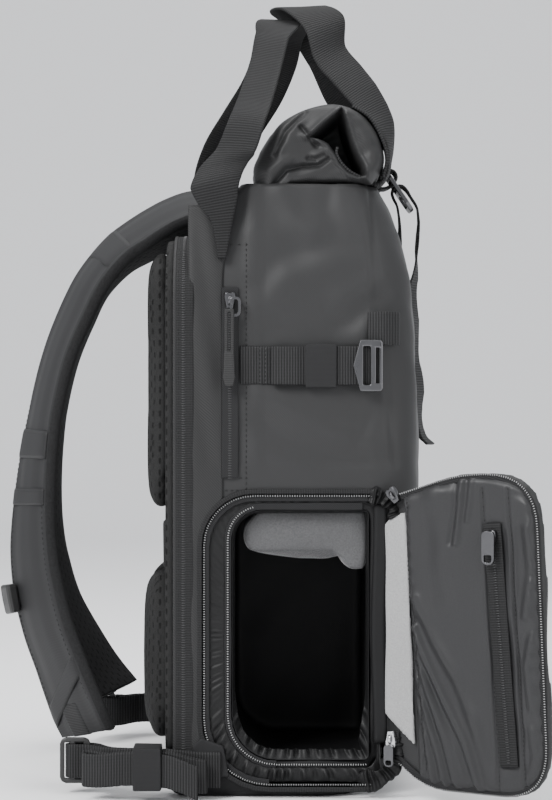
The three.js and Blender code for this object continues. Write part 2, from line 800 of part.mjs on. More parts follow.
function handle(rows, steps) {
  const keys = rows.map(({ x, y, z, across, wide }) => ({
    at: [x * shellFront, y * halfWidth, bodyHeight + z * handleHeight],
    across,
    wide,
  }));
  return solid(strap(stationsThrough(keys, steps), handleWidth, handleThickness));
}

function makeHandles() {
  const shell = shellWithGap();
  add("handle_back", "webbing", geometryOf(handle(backHandleRows, 46).subtract(shell)));
  add("handle_front", "webbing", geometryOf(handle(frontHandleRows, 48).subtract(shell)));
}

// The closure's hook hangs at the front of the roll, with the strap through its lower slot.
function makeClosure() {
  const top = new THREE.Vector3(rollForward + 1.215 * rollLong, 0, bodyHeight + 18);
  const lean = THREE.MathUtils.degToRad(34);
  const across = hookWidth / 2 - hookBar;
  const outline = roundedRect(
    -hookWidth / 2,
    -hookLength,
    hookWidth / 2,
    0,
    [7, 7, 3, 3],
    [3, 3, 2, 2],
  );
  const shape = shapeOf(outline);
  const slotHeight = (hookLength - hookBar * 3) / 2;
  [hookBar, hookBar * 2 + slotHeight].forEach((down) => {
    shape.holes.push(
      new THREE.Path(
        roundedRect(-across, -down - slotHeight, across, -down, [2, 2, 2, 2], [2, 2, 2, 2]),
      ),
    );
  });
  const hook = plateYZ(shape, -hookThickness / 2, hookThickness / 2);
  hook.rotateY(-lean).translate(top.x, top.y, top.z);
  add("closure_hook", "metal", hook);

  // A place on the hook: down its length, and off its middle plane towards the front.
  const onHook = (down, off) => [
    top.x + down * Math.sin(lean) + off * Math.cos(lean),
    0,
    top.z - down * Math.cos(lean) + off * Math.sin(lean),
  ];
  const flat = [0, 1, 0];
  const key = (at) => ({ at, across: flat });
  const turn = barTurn(hookBar, hookThickness) + 1.5;
  // Round one of the hook's bars, from angle to angle: 0 is down the hook, 90 off its front.
  const round = (bar, from, to) =>
    turnRound(turn, from, to, 4).map((p) => key(onHook(bar + p.x, p.y)));

  const rollFace = rollForward + rollLong + rollSheet / 2 + seat + webThickness / 2;
  const rollMiddle = bodyHeight + rollAbove;
  const loop = [
    key([rollFace - 1.1, 0, rollMiddle + 8]),
    key([rollFace + 0.3, 0, rollMiddle + 2]),
    key([rollFace + 2.4, 0, rollMiddle - 3]),
    ...round(hookBar / 2, 215, 0),
    key(onHook(hookBar / 2 + turn, -6)),
    key([rollFace - 2, 0, rollMiddle - 16.5]),
    key([rollFace - 7, 0, rollMiddle - 19.5]),
  ];
  add("closure_loop", "webbing", strap(stationsThrough(loop, 44), closureWidth, webThickness));

  const bar = hookBar * 1.5 + slotHeight;
  const anchor = bodyHeight * 0.9;
  const lie = webThickness / 2 + seat + 0.6;
  const front = (z, away) => key([frontAt(z) + away, 0, z]);
  const layer = webThickness + seat;
  const keys = [
    front(anchor * 0.94, lie),
    front(anchor, lie + 0.4),
    key(onHook(bar + 15, -turn - 5)),
    key(onHook(bar + 6, -turn - 0.8)),
    ...round(bar, 270, 90),
    key(onHook(bar + 7, turn)),
    key(onHook(bar + 17, turn - 1)),
    front(anchor * 0.97, lie + layer + 6),
    front(anchor * 0.92, lie + layer + 2),
    front(anchor * 0.85, lie + layer + 0.6),
    front(closureTail + 70, lie + layer + 0.3),
    front(closureTail + 22, lie + layer + 1),
    front(closureTail + 7, lie + layer + 3),
    front(closureTail, lie + layer + 7),
  ];
  add("closure_strap", "webbing", strap(stationsThrough(keys, 68), closureWidth, webThickness));
}

// A station on the near side of the shell, standing off it.
function onSide(x, z, off) {
  return { at: [x, -sideAt(z) - off, z], across: [0, 0, 1] };
}

function makeSideStrap() {
  const z = sideWebHeight;
  const lie = seat + webThickness / 2;
  const under = strap(
    stationsThrough([onSide(sideWebStart, z, lie), onSide(sideWebEnd, z, lie)], 4),
    sideWebWidth,
    webThickness,
  );
  add("side_web", "webbing", under);
  const over = lie + webThickness + seat;
  const tailEnd = keeperStart - 22;
  const tail = [
    onSide(tailEnd, z, over),
    onSide(tailEnd + 3, z, over + 1.6),
    onSide(keeperStart - 6, z, over + 1.6),
    onSide(keeperStart - 1.5, z, over),
    onSide(keeperStart + keeperLength, z, over),
    onSide(sideHookStart + sideHookLength - 2, z, over),
  ];
  add("side_web_tail", "webbing", strap(stationsThrough(tail, 12), sideWebWidth, webThickness));

  const inside = over + webThickness / 2 + seat;
  const half = sideWebWidth / 2 + seat;
  const surface = -sideAt(z) - seat;
  const sleeve = solid(
    block(
      keeperStart,
      -sideAt(z) - inside - keeperWall,
      z - half - keeperWall,
      keeperStart + keeperLength,
      surface,
      z + half + keeperWall,
    ),
  ).subtract(
    solid(
      block(
        keeperStart - 1,
        -sideAt(z) - inside,
        z - half,
        keeperStart + keeperLength + 1,
        surface + 1,
        z + half,
      ),
    ),
  );
  add("side_keeper", "webbing", geometryOf(sleeve));

  const high = sideHookHeight / 2;
  const long = sideHookLength;
  const outline = [
    [0, 0],
    [long * 0.24, -high],
    [long * 0.94, -high],
    [long, -high * 0.9],
    [long, high * 0.9],
    [long * 0.94, high],
    [long * 0.24, high],
  ].map(([x, y]) => new THREE.Vector2(x + sideHookStart, z + y));
  const shape = shapeOf(outline);
  [
    { from: 0.32, to: 0.6, tall: 0.76 },
    { from: 0.76, to: 0.9, tall: 0.7 },
  ].forEach(({ from, to, tall }) => {
    const x0 = sideHookStart + long * from;
    const x1 = sideHookStart + long * to;
    const slotHigh = high * tall;
    shape.holes.push(
      new THREE.Path([
        new THREE.Vector2(x0, z - slotHigh),
        new THREE.Vector2(x0, z + slotHigh),
        new THREE.Vector2(x1, z + slotHigh),
        new THREE.Vector2(x1, z - slotHigh),
      ]),
    );
  });
  const face = -sideAt(z) - over - webThickness / 2 - seat;
  add("side_hook", "metal", plateXZ(shape, face - hookThickness, face));
}

// A webbing loop sewn round the front corner above the side strap.
function makeCornerLoop() {
  const z = cornerLoopHeight;
  const share = z / bodyHeight;
  const front = between(shellSections, "height", share, "front") * shellFront;
  const centre = new THREE.Vector2(front - frontCorner, -sideAt(z) + frontCorner);
  const radius = frontCorner + seat + webThickness / 2;
  const sweep = 7; // degrees between two of its keys
  const keys = Array.from({ length: 7 }, (_, i) => {
    const a = THREE.MathUtils.degToRad(i * sweep - 90);
    const off = radius + 0.3 + cornerLoopRise * Math.sin((Math.PI * i) / 6);
    return {
      at: [centre.x + off * Math.cos(a), centre.y + off * Math.sin(a), z],
      across: [0, 0, 1],
    };
  });
  add("corner_loop", "webbing", strap(stationsThrough(keys, 8), sideWebWidth - 3, webThickness));
}

function makeSidePocket() {
  const lie = seat + clothThickness / 2;
  const mid = (pocketZipLow + pocketZipHigh) / 2;
  const bend = shellSections[6].height * bodyHeight;
  const tape = [pocketZipLow, mid, bend, pocketZipHigh].map((z) => ({
    at: [pocketZipX, -sideAt(z) - lie, z],
    across: [1, 0, 0],
  }));
  tape.reverse();
  const places = tape.map(({ at, across }) => ({
    at: new THREE.Vector3(...at),
    along: new THREE.Vector3(0, 0, -1),
    across: new THREE.Vector3(...across),
  }));
  add("pocket_zip", "zip", strap(places, pocketZipWidth, clothThickness));

  const top = pocketZipHigh - 3;
  const out = -sideAt(top - sliderLength) - seat - clothThickness - seat;
  add(
    "pocket_slider",
    "metal",
    block(
      pocketZipX - sliderWidth / 2,
      out - sliderThickness,
      top - sliderLength,
      pocketZipX + sliderWidth / 2,
      out,
      top,
    ),
  );
  const face = out - sliderThickness - seat;
  const ringTop = top - sliderLength * 0.3;
  const ring = shapeOf(
    roundedRect(pocketZipX, ringTop - 13, pocketZipX + 7, ringTop, [3, 3, 3, 3], [3, 3, 3, 3]),
  );
  ring.holes.push(
    new THREE.Path(
      roundedRect(
        pocketZipX + 1.6,
        ringTop - 11.4,
        pocketZipX + 5.4,
        ringTop - 1.6,
        [1.8, 1.8, 1.8, 1.8],
        [3, 3, 3, 3],
      ),
    ),
  );
  add("pocket_ring", "metal", plateXZ(ring, face - ringThickness, face));

  const cordFace = face - ringThickness - seat;
  const cordTop = ringTop - 8;
  const endTop = cordTop - pullLength * 0.56;
  const cords = solid(
    block(pocketZipX - 3.4, cordFace - pullCord, endTop - 2, pocketZipX - 1.2, cordFace, cordTop),
  )
    .add(
      solid(
        block(pocketZipX + 0.6, cordFace - pullCord, endTop - 2, pocketZipX + 2.8, cordFace, cordTop),
      ),
    )
    .add(
      solid(
        block(
          pocketZipX - 3.4,
          cordFace - pullCord,
          cordTop - pullCord,
          pocketZipX + 2.8,
          cordFace,
          cordTop,
        ),
      ),
    );
  const end = [
    [-3.2, 0],
    [-3.6, -0.55],
    [-4, -0.75],
    [-2.6, -1],
    [2.6, -1],
    [4, -0.75],
    [3.6, -0.55],
    [3.2, 0],
  ].map(([x, y]) => new THREE.Vector2(pocketZipX - 0.4 + x, endTop - y * -pullLength * 0.44));
  const endSolid = solid(plateXZ(end, cordFace - pullCord - 1, cordFace));
  add("pocket_pull", "plastic", geometryOf(cords.add(endSolid)));
}

// The shoulder straps' line. out is a share of strapReach behind the zipped back, up of
// bodyHeight, apart of half of strapSpacing; turn is how far the strap faces outwards, in
// degrees, dip how far its outer edge rises, wide a share of strapWidth, and slack the share
// of strapSlack by which the right strap hangs further out.
const strapRows = [
  { out: -0.42, up: 0.972, apart: 0.7, turn: 3, dip: -0.36, wide: 0.94, slack: 0 },
  { out: -0.27, up: 0.975, apart: 0.72, turn: 5, dip: -0.36, wide: 0.95, slack: 0 },
  { out: -0.09, up: 0.975, apart: 0.75, turn: 8, dip: -0.36, wide: 0.97, slack: 0.05 },
  { out: 0.05, up: 0.963, apart: 0.77, turn: 10, dip: -0.34, wide: 0.98, slack: 0.2 },
  { out: 0.165, up: 0.947, apart: 0.795, turn: 12, dip: -0.32, wide: 1, slack: 0.45 },
  { out: 0.285, up: 0.927, apart: 0.82, turn: 15, dip: -0.29, wide: 1, slack: 0.7 },
  { out: 0.41, up: 0.904, apart: 0.83, turn: 16, dip: -0.25, wide: 1, slack: 0.85 },
  { out: 0.58, up: 0.853, apart: 0.85, turn: 19, dip: -0.17, wide: 1, slack: 1 },
  { out: 0.69, up: 0.8, apart: 0.86, turn: 20, dip: -0.15, wide: 1, slack: 1 },
  { out: 0.82, up: 0.72, apart: 0.875, turn: 20, dip: -0.09, wide: 1, slack: 1 },
  { out: 0.92, up: 0.618, apart: 0.885, turn: 21, dip: -0.03, wide: 1, slack: 1 },
  { out: 0.98, up: 0.5, apart: 0.91, turn: 26, dip: 0.03, wide: 1, slack: 1 },
  { out: 0.99, up: 0.4, apart: 0.935, turn: 30, dip: 0.06, wide: 1.03, slack: 1 },
  { out: 0.955, up: 0.33, apart: 0.98, turn: 31, dip: 0.13, wide: 1.07, slack: 1 },
  { out: 0.885, up: 0.262, apart: 1.02, turn: 30, dip: 0.19, wide: 1.1, slack: 0.95 },
  { out: 0.8, up: 0.208, apart: 1.07, turn: 29, dip: 0.22, wide: 1.13, slack: 0.8 },
  { out: 0.665, up: 0.127, apart: 1.14, turn: 31, dip: 0.22, wide: 1.14, slack: 0.4 },
  { out: 0.6, up: 0.094, apart: 1.165, turn: 35, dip: 0.2, wide: 1, slack: 0 },
];

// Where the bands sewn over each strap's face lie, as shares of its length.
const strapBands = [
  { band: "strap_bar", from: 0.345, to: 0.385 },
  { band: "strap_label_band", from: 0.6, to: 0.623 },
  { band: "strap_low_band", from: 0.65, to: 0.665 },
  { band: "strap_toe_band", from: 0.915, to: 0.94 },
];

function strapStations(hand, steps) {
  const from = shellBack + seat + frameDepth;
  const keys = strapRows.map(({ out, up, apart, turn, dip, wide, slack }) => {
    const loose = hand > 0 ? slack : 0;
    const a = THREE.MathUtils.degToRad(turn - loose * strapSlackTurn);
    const further = loose * strapSlack;
    const rise = Math.max(0, up - 0.6) * further;
    return {
      at: [
        -from - out * strapReach - further,
        (hand * apart * strapSpacing) / 2,
        up * bodyHeight + rise,
      ],
      across: [Math.sin(a), hand * Math.cos(a), dip],
      wide,
    };
  });
  const run = stationsThrough(keys, steps);
  // On the right the strap is laid the other way across, so that its face stays outside.
  if (hand > 0) run.forEach((s) => s.across.negate());
  return run;
}

// A stretch of the shoulder strap's line, from one share of its length to another.
function strapStretch(hand, from, to, count) {
  const steps = 240;
  const all = strapStations(hand, steps);
  const first = Math.round(from * steps);
  const last = Math.round(to * steps);
  return Array.from({ length: count + 1 }, (_, i) =>
    all[Math.round(first + ((last - first) * i) / count)],
  );
}

function makeShoulderStraps() {
  const shell = shellWithGap();
  [-1, 1].forEach((hand) => {
    const name = hand < 0 ? "left" : "right";
    const pad = solid(strap(strapStations(hand, 44), strapWidth, strapThickness, 0, 0.28));
    add(`shoulder_pad_${name}`, "mesh", geometryOf(pad.subtract(shell)));
    const raise = strapThickness / 2 + seat * 1.3 + strapBandThickness / 2;
    strapBands.forEach(({ band, from, to }) => {
      const run = strapStretch(hand, from, to, 5);
      const cloth = strap(run, strapWidth - strapThickness / 2, strapBandThickness, raise);
      add(`${band}_${name}`, "webbing", cloth);
    });
    const clip = strapStretch(hand, 0.755, 0.79, 2).map(({ at, along, across, wide }) => ({
      at: at.clone().addScaledVector(across, hand * strapWidth * 0.42),
      along,
      across,
      wide,
    }));
    const clipRaise = strapThickness / 2 + seat + clipThickness / 2;
    add(`sternum_clip_${name}`, "plastic", strap(clip, 12, clipThickness, clipRaise));
  });
}

// The lower webbing runs from a sewn tab on the pack's side to the buckle at the strap's toe,
// turns round the buckle's bar, and its spare length is folded back and forth in a keeper.
function makeLowerStraps() {
  const height = 0.054 * bodyHeight;
  const r = lowerWebFold;
  const step = 2 * r;
  const side = halfWidth + seat + tabThick;
  const lie = side + seat + webThickness / 2;
  const zipped = shellBack + seat + frameDepth;
  const bar = { x: -zipped - 0.69 * strapReach, y: 0.86 * halfWidth };
  const turn = barTurn(buckleBar, buckleThickness) + 0.1;
  const keeperX = -zipped - 0.18 * strapReach;
  [-1, 1].forEach((hand) => {
    const name = hand < 0 ? "left" : "right";
    const tab = [
      { x: -0.99, z: 0.085 },
      { x: -0.97, z: 0.03 },
      { x: -0.62, z: 0.036 },
      { x: -0.68, z: 0.085 },
      { x: -0.9, z: 0.098 },
    ].map(({ x, z }) => new THREE.Vector2(x * shellBack, z * bodyHeight));
    const inner = hand < 0 ? -side : halfWidth + seat;
    add(`lower_tab_${name}`, "webbing", plateXZ(tab, inner, inner + tabThick));

    // A place on the webbing: how far back, and how far out from the pack's middle plane.
    const key = (x, y, drop = 0) => ({ at: [x, hand * y, height - drop], across: [0, 0, 1] });
    const right = { x: -0.88 * shellBack, y: side + 3 + step };
    const left = { x: -zipped - 58, y: side - 10 + 2 * step };
    const keys = [
      key(-0.7 * shellBack, lie + 0.1),
      key(-zipped - 4, lie - 0.2),
      key(keeperX, side - 1),
      key(-zipped - 40, side - 5),
      key(bar.x + 13.5, bar.y - turn + 0.2),
      ...turnRound(turn, -90, -270, 4).map((p) => key(bar.x + p.x, bar.y + p.y)),
      key(bar.x + 11, bar.y + turn + 0.8),
      key(-zipped - 40, side - 5 + step),
      key(keeperX, side - 1 + step),
      ...turnRound(r, -90, 90, 3).map((p) => key(right.x + p.x, right.y + r + p.y, 1)),
      key(keeperX, side - 1 + 2 * step, 0.5),
      key(-zipped - 42, side - 5 + 2 * step, 0.5),
      ...turnRound(r, -90, -270, 3).map((p) => key(left.x + p.x, left.y + r + p.y, 0.5)),
      key(-zipped - 42, side - 5 + 3 * step, 0.5),
      key(keeperX, side - 1 + 3 * step, 0.7),
      key(-zipped + 2, side + 4 + 3 * step, 2),
      key(-0.92 * shellBack, side + 9 + 3 * step, 4),
    ];
    const web = strap(stationsThrough(keys, 110), lowerWebWidth, webThickness);
    add(`lower_web_${name}`, "webbing", web);

    const layers = 3 * step + webThickness;
    const gap = seat + 0.6;
    const near = side - 1 - webThickness / 2 - gap - 1;
    const far = near + layers + 2 * gap + 3;
    const half = lowerWebWidth / 2 + gap + 0.7;
    const box = (y0, y1, z0, z1, x0, x1) =>
      solid(block(x0, Math.min(hand * y0, hand * y1), z0, x1, Math.max(hand * y0, hand * y1), z1));
    const x0 = keeperX - webKeeperLength / 2;
    const x1 = keeperX + webKeeperLength / 2;
    const w = keeperWall;
    const sleeve = box(near - w, far + w, height - half - w, height + half + w, x0, x1).subtract(
      box(near, far, height - half, height + half, x0 - 1, x1 + 1),
    );
    add(`web_keeper_${name}`, "webbing", geometryOf(sleeve));

    const slotX = buckleBar / 2;
    const frame = roundedRect(
      bar.x - buckleLength * 0.42,
      height - buckleWidth / 2,
      bar.x + buckleLength * 0.58,
      height + buckleWidth / 2,
      [4, 4, 4, 4],
      [2, 2, 2, 2],
    );
    const y0 = hand * bar.y - buckleThickness / 2;
    const slotHalf = lowerWebWidth / 2 + 0.8;
    const slot = (from, to) =>
      solid(block(from, y0 - 1, height - slotHalf, to, y0 + buckleThickness + 1, height + slotHalf));
    const plate = solid(plateXZ(frame, y0, y0 + buckleThickness))
      .subtract(slot(bar.x - slotX - 4, bar.x - slotX))
      .subtract(slot(bar.x + slotX, bar.x + slotX + 6));
    add(`buckle_${name}`, "plastic", geometryOf(plate));
  });
}

// A flat tape that follows an outline in X and Z on one side of y.
function sideTape(points, y, width, thickness) {
  const stations = outlineStations(points, (x, z) => new THREE.Vector3(x, 0, z));
  stations.forEach((s) => s.at.setY(y));
  return strap(stations, width, thickness);
}

// An outline opened at its front: from its last point past the front corners round the back.
function aroundBack(points, steps) {
  const count = points.length;
  const low = steps[0] + 1;
  const high = steps[0] + steps[1] + steps[2] + 3;
  const path = [];
  for (let i = high - 1; i < count + low; i += 1) path.push(points[i % count]);
  return path;
}

function makeBay() {
  const mouth = -halfWidth + shellWall + seat;
  const inside = inset(cubeSide, cubeWall);
  const cube = solid(plateXZ(cubeSide, mouth, mouth + cubeDepth)).subtract(
    solid(plateXZ(inside, mouth - 1, mouth + cubeDepth - cubeWall)),
  );
  add("camera_cube", "base", geometryOf(cube.intersect(solid(loft(insideRings(seat))))));

  const liningFar = mouth + clothThickness * 2;
  const lining = solid(plateXZ(inset(bayCut, seat), mouth + clothThickness, liningFar)).subtract(
    solid(plateXZ(inset(cubeSide, -seat), mouth, liningFar + 1)),
  );
  add("bay_lining", "lining", geometryOf(lining));

  const zipLine = aroundBack(inset(bayCut, seat + zipTapeWidth / 2), [8, 3, 3, 7]);
  const zipFace = -halfWidth + clothThickness;
  add("bay_zip", "zip", sideTape(zipLine, zipFace, zipTapeWidth, clothThickness));

  const cubeLine = aroundBack(inset(cubeSide, cubeZipIn), [7, 3, 3, 6]);
  const cubeFace = mouth - seat - clothThickness / 2;
  add("cube_zip", "zip", sideTape(cubeLine, cubeFace, zipTapeWidth, clothThickness));

  const roof = cubeHigh - cubeWall - seat;
  const floor = roof - dividerFall;
  const front = cubeFront - cubeWall - seat;
  const lobe = front - 15;
  const pad = softOutline(
    [
      { at: new THREE.Vector2(-dividerBack, floor), soft: 9 },
      { at: new THREE.Vector2(lobe - 2, floor), soft: 5 },
      { at: new THREE.Vector2(lobe + 1, floor - dividerLobe), soft: 5 },
      { at: new THREE.Vector2(front, floor - dividerLobe), soft: 6 },
      { at: new THREE.Vector2(front, roof), soft: 5 },
      { at: new THREE.Vector2(-dividerBack + 12, roof), soft: 4 },
      { at: new THREE.Vector2(-dividerBack, roof - 12), soft: 6 },
    ],
    10,
  );
  add("divider_pad", "plush", plateXZ(pad, mouth + 8, mouth + 8 + dividerDepth));
}

// The door, drawn shut with its hinge at the group's origin: it reaches back from there along
// -X, with its inner face at y = 0, and is then turned open about the hinge.
function makeDoor() {
  const height = doorHigh - doorLow;
  const place = ({ out, up, soft }) => ({
    at: new THREE.Vector2(-out * doorWidth, doorLow + up * height),
    soft: soft * doorSoft,
  });
  // Mirrored into -X, the corners run clockwise, so they are taken backwards.
  const outline = softOutline(doorCorners.map(place).reverse(), 8);
  const past = doorWidth / 2; // far enough to clear the door's ends
  const slab = (x0, z0, x1, z1, y0, y1) => solid(block(x0, y0, z0, x1, y1, z1));
  const away = slab(-doorWidth * 2, -past, -hingeCloth, doorHigh + past, -doorThickness - 1, 1);

  const shell = solid(plateXZ(outline, -doorThickness, 0)).intersect(away);
  add("door_panel", "coated", geometryOf(shell), doorGroup);

  const hem = new THREE.Vector2(-plushTop, doorHigh);
  const foot = new THREE.Vector2(-plushBottom, doorLow);
  const edge = inset(outline, liningInset);
  const wide = doorWidth * 2;
  const half = (gap, reach) => [
    new THREE.Vector2(hem.x + gap, hem.y + past),
    new THREE.Vector2(reach, hem.y + past),
    new THREE.Vector2(reach, foot.y - past),
    new THREE.Vector2(foot.x + gap, foot.y - past),
  ];
  const near = seat;
  const far = seat + liningThickness;
  const inner = solid(plateXZ(edge, near, far));
  const liningHalf = solid(plateXZ(half(-seat / 2, -wide).reverse(), near - 1, far + 1));
  const plushHalf = solid(plateXZ(half(seat / 2, wide), near - 1, far + 1));
  add("door_lining", "lining", geometryOf(inner.intersect(liningHalf)), doorGroup);
  const strip = softOutline(
    [
      { at: new THREE.Vector2(0, doorLow + 0.23 * height), soft: 3 },
      { at: new THREE.Vector2(0, doorLow + 0.83 * height), soft: 3 },
      { at: new THREE.Vector2(-plushTop - 3, doorLow + 0.87 * height), soft: 3 },
      { at: new THREE.Vector2(-plushBottom - 3, doorLow + 0.11 * height), soft: 3 },
    ].reverse(),
    20,
  );
  const plush = solid(plateXZ(strip, near, far)).intersect(plushHalf);
  add("hinge_plush", "paleplush", geometryOf(plush), doorGroup);

  const track = inset(outline, 3.4);
  const zipFace = seat + clothThickness / 2;
  const zip = sideTape(freeEdge(track), zipFace, zipTapeWidth, clothThickness);
  add("door_zip", "zip", zip, doorGroup);

  makeDoorPocket(far);
  makeDoorSliders();

  doorGroup.position.set(bayFront + 1, -halfWidth + 0.9, 0);
  doorGroup.rotation.z = THREE.MathUtils.degToRad(doorOpen);
  group.add(doorGroup);
}

// The door's edge without its hinge side, from the low end round to the high one. Its low
// end turns up beside the hinge, where the slider waits.
function freeEdge(track) {
  const end = -hingeCloth - zipTapeWidth / 2 - seat;
  const count = track.length;
  const first = track.findIndex((p, i) => p.x < end && track[(i + count - 1) % count].x >= end);
  const crossing = (p, q) => p.clone().lerp(q, (end - p.x) / (q.x - p.x));
  const path = [crossing(track[(first + count - 1) % count], track[first])];
  let i = first;
  for (; track[i % count].x < end; i += 1) path.push(track[i % count]);
  path.push(crossing(track[(i - 1) % count], track[i % count]));
  const turned = path[0].y < path[path.length - 1].y ? path : path.reverse();
  return [new THREE.Vector2(end, doorLow + sliderLow + sliderLength), ...turned];
}

function makeDoorPocket(face) {
  const lie = face + seat + clothThickness / 2;
  const slope = (doorZipBottom - doorZipTop) / (doorZipHigh - doorZipLow);
  const zipX = (z) => -doorZipTop - (doorZipHigh - z) * slope;
  const along = new THREE.Vector3(slope, 0, -1).normalize();
  const tape = [doorZipHigh, doorZipLow].map((z) => ({
    at: new THREE.Vector3(zipX(z), lie, z),
    along,
    across: new THREE.Vector3(1, 0, 0),
  }));
  add("door_pocket_zip", "zip", strap(tape, doorZipWidth, clothThickness), doorGroup);

  const sliderFace = lie + clothThickness / 2 + seat;
  const top = doorZipHigh - 1;
  add(
    "door_pocket_slider",
    "metal",
    block(
      zipX(top) - sliderWidth / 2,
      sliderFace,
      top - sliderLength,
      zipX(top) + sliderWidth / 2,
      sliderFace + sliderThickness,
      top,
    ),
    doorGroup,
  );
  const tabFace = sliderFace + sliderThickness + tabGap;
  const tab = pullTab(zipX(top), tabFace, top - 1, tabWidth, tabLength);
  add("door_pocket_tab", "metal", tab, doorGroup);
}

// A flat pull tab that hangs down from its top at z, with a hole in its lower end.
function pullTab(x, face, z, width, length) {
  const half = width / 2;
  const hole = half * 0.62;
  const round = half * 0.9;
  const shape = shapeOf(
    roundedRect(x - half, z - length, x + half, z, [round, round, 2, 2], [4, 4, 2, 2]),
  );
  const low = z - length * 0.93;
  const high = z - length * 0.7;
  const inner = hole * 0.6;
  shape.holes.push(
    new THREE.Path(
      roundedRect(x - hole, low, x + hole, high, [inner, inner, 1, 1], [3, 3, 2, 2]),
    ),
  );
  const plate = new THREE.ExtrudeGeometry(shape, { depth: tabThickness, bevelEnabled: false });
  return plate.rotateX(Math.PI / 2).translate(0, face + tabThickness, 0);
}

function makeDoorSliders() {
  const base = seat + clothThickness + seat;
  const out = base + sliderThickness;
  const low = doorLow + sliderLow;
  const lowX = -1.5;
  add(
    "door_slider_low",
    "metal",
    block(lowX - sliderWidth, base, low, lowX, out, low + sliderLength),
    doorGroup,
  );
  const tab = pullTab(lowX - sliderWidth / 2, out + tabGap, low + 2, lowTabWidth, lowTabLength);
  add("door_low_tab", "metal", tab, doorGroup);
  const high = doorHigh - sliderHigh;
  add(
    "door_slider_high",
    "metal",
    block(lowX - sliderLength, base, high, lowX, out, high + sliderWidth),
    doorGroup,
  );
}

makeShell();
makeBase();
makeBack();
makeRollTop();
makeHandles();
makeClosure();
makeSideStrap();
makeCornerLoop();
makeSidePocket();
makeShoulderStraps();
makeLowerStraps();
makeBay();
makeDoor();

export default group;
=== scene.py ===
"""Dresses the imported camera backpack: cloth, straps, zips, padding, light and camera."""
import logging
import math
from dataclasses import dataclass
from enum import Enum
from typing import Callable, Optional, Sequence

import bmesh
import bpy
import numpy as np
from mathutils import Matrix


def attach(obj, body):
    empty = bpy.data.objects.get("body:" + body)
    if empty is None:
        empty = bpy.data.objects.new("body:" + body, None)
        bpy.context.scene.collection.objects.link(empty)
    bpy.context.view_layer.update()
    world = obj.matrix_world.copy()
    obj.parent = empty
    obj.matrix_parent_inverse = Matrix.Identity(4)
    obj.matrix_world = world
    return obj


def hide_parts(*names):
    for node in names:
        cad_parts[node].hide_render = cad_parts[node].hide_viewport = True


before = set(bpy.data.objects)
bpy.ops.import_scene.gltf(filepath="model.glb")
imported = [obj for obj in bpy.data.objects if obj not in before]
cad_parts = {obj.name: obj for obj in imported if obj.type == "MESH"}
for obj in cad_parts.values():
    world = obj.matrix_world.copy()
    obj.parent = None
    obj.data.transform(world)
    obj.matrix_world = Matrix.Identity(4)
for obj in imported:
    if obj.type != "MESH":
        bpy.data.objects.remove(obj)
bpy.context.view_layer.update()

LOG = logging.getLogger("backpack")
MM = 0.001
PACK = "pack"
Array = np.ndarray

# Sizes shared by several pieces, in millimetres, as the solids have them.
HALF_WIDTH = 140.0
BODY_HEIGHT = 400.0
BASE_HEIGHT = 26.0
SHELL_BACK = 64.0
SHELL_FRONT = 84.0
SHELL_WALL = 3.0
SEAT = 0.35
FRAME_BACK = SHELL_BACK + SEAT + 9.6
MOUTH = -HALF_WIDTH + SHELL_WALL + SEAT
SHELL_ROWS = (
    # height, back, front, width as shares of the sizes above
    (0.065, 1.0, 0.83, 1.0),
    (0.11, 1.0, 0.92, 1.0),
    (0.17, 1.0, 0.975, 1.0),
    (0.3, 1.0, 1.0, 1.0),
    (0.52, 1.0, 1.0, 1.0),
    (0.65, 1.0, 0.985, 1.0),
    (0.755, 1.0, 0.96, 1.0),
    (0.85, 1.0, 0.91, 0.985),
    (0.92, 0.93, 0.84, 0.965),
    (0.965, 0.72, 0.765, 0.945),
    (1.0, 0.5, 0.67, 0.93),
)


# Numbers and curves


def hex_linear(code: str) -> tuple[float, float, float, float]:
    """Turns an sRGB hex colour into linear light.

    Args:
        code: Six hex digits.

    Returns:
        Red, green, blue and alpha.
    """
    parts = [int(code[i : i + 2], 16) / 255 for i in (0, 2, 4)]
    linear = [p / 12.92 if p <= 0.04045 else ((p + 0.055) / 1.055) ** 2.4 for p in parts]
    return (linear[0], linear[1], linear[2], 1.0)


def unit(vectors: Array) -> Array:
    """Scales vectors to length one."""
    length = np.linalg.norm(vectors, axis=-1, keepdims=True)
    return vectors / np.maximum(length, 1e-9)


def waves(points: Array, length: float, seed: int, count: int = 7) -> Array:
    """A smooth uneven field made of a few sine waves.

    Args:
        points: Places, in millimetres.
        length: The waves' middle length, in millimetres.
        seed: Seed of their directions.
        count: How many waves are added.

    Returns:
        One value for each place, mostly between -1 and 1.
    """
    rng = np.random.default_rng(seed)
    total = np.zeros(points.shape[:-1])
    for _ in range(count):
        direction = unit(rng.normal(size=points.shape[-1]))
        reach = length * rng.uniform(0.6, 1.6)
        total += np.sin(points @ direction * 2 * math.pi / reach + rng.uniform(0, 6.28))
    return total / math.sqrt(count)


def ramp(values: Array, start: float, end: float) -> Array:
    """Smooth step from 0 at start to 1 at end."""
    share = np.clip((values - start) / (end - start), 0, 1)
    return share * share * (3 - 2 * share)


def ridge(points: Array, line: Sequence[tuple[float, float]], width: float) -> Array:
    """How near places in a plane lie to a line, from 0 to 1.

    Args:
        points: Places in a plane.
        line: The line's points.
        width: Distance at which the value has fallen to a third.

    Returns:
        One value for each place.
    """
    best = np.full(points.shape[:-1], 1e9)
    for a, b in zip(line[:-1], line[1:]):
        start, step = np.array(a, float), np.array(b, float) - np.array(a, float)
        share = np.clip((points - start) @ step / (step @ step), 0, 1)
        gap = np.linalg.norm(points - start - share[..., None] * step, axis=-1)
        best = np.minimum(best, gap)
    return np.exp(-((best / width) ** 2))


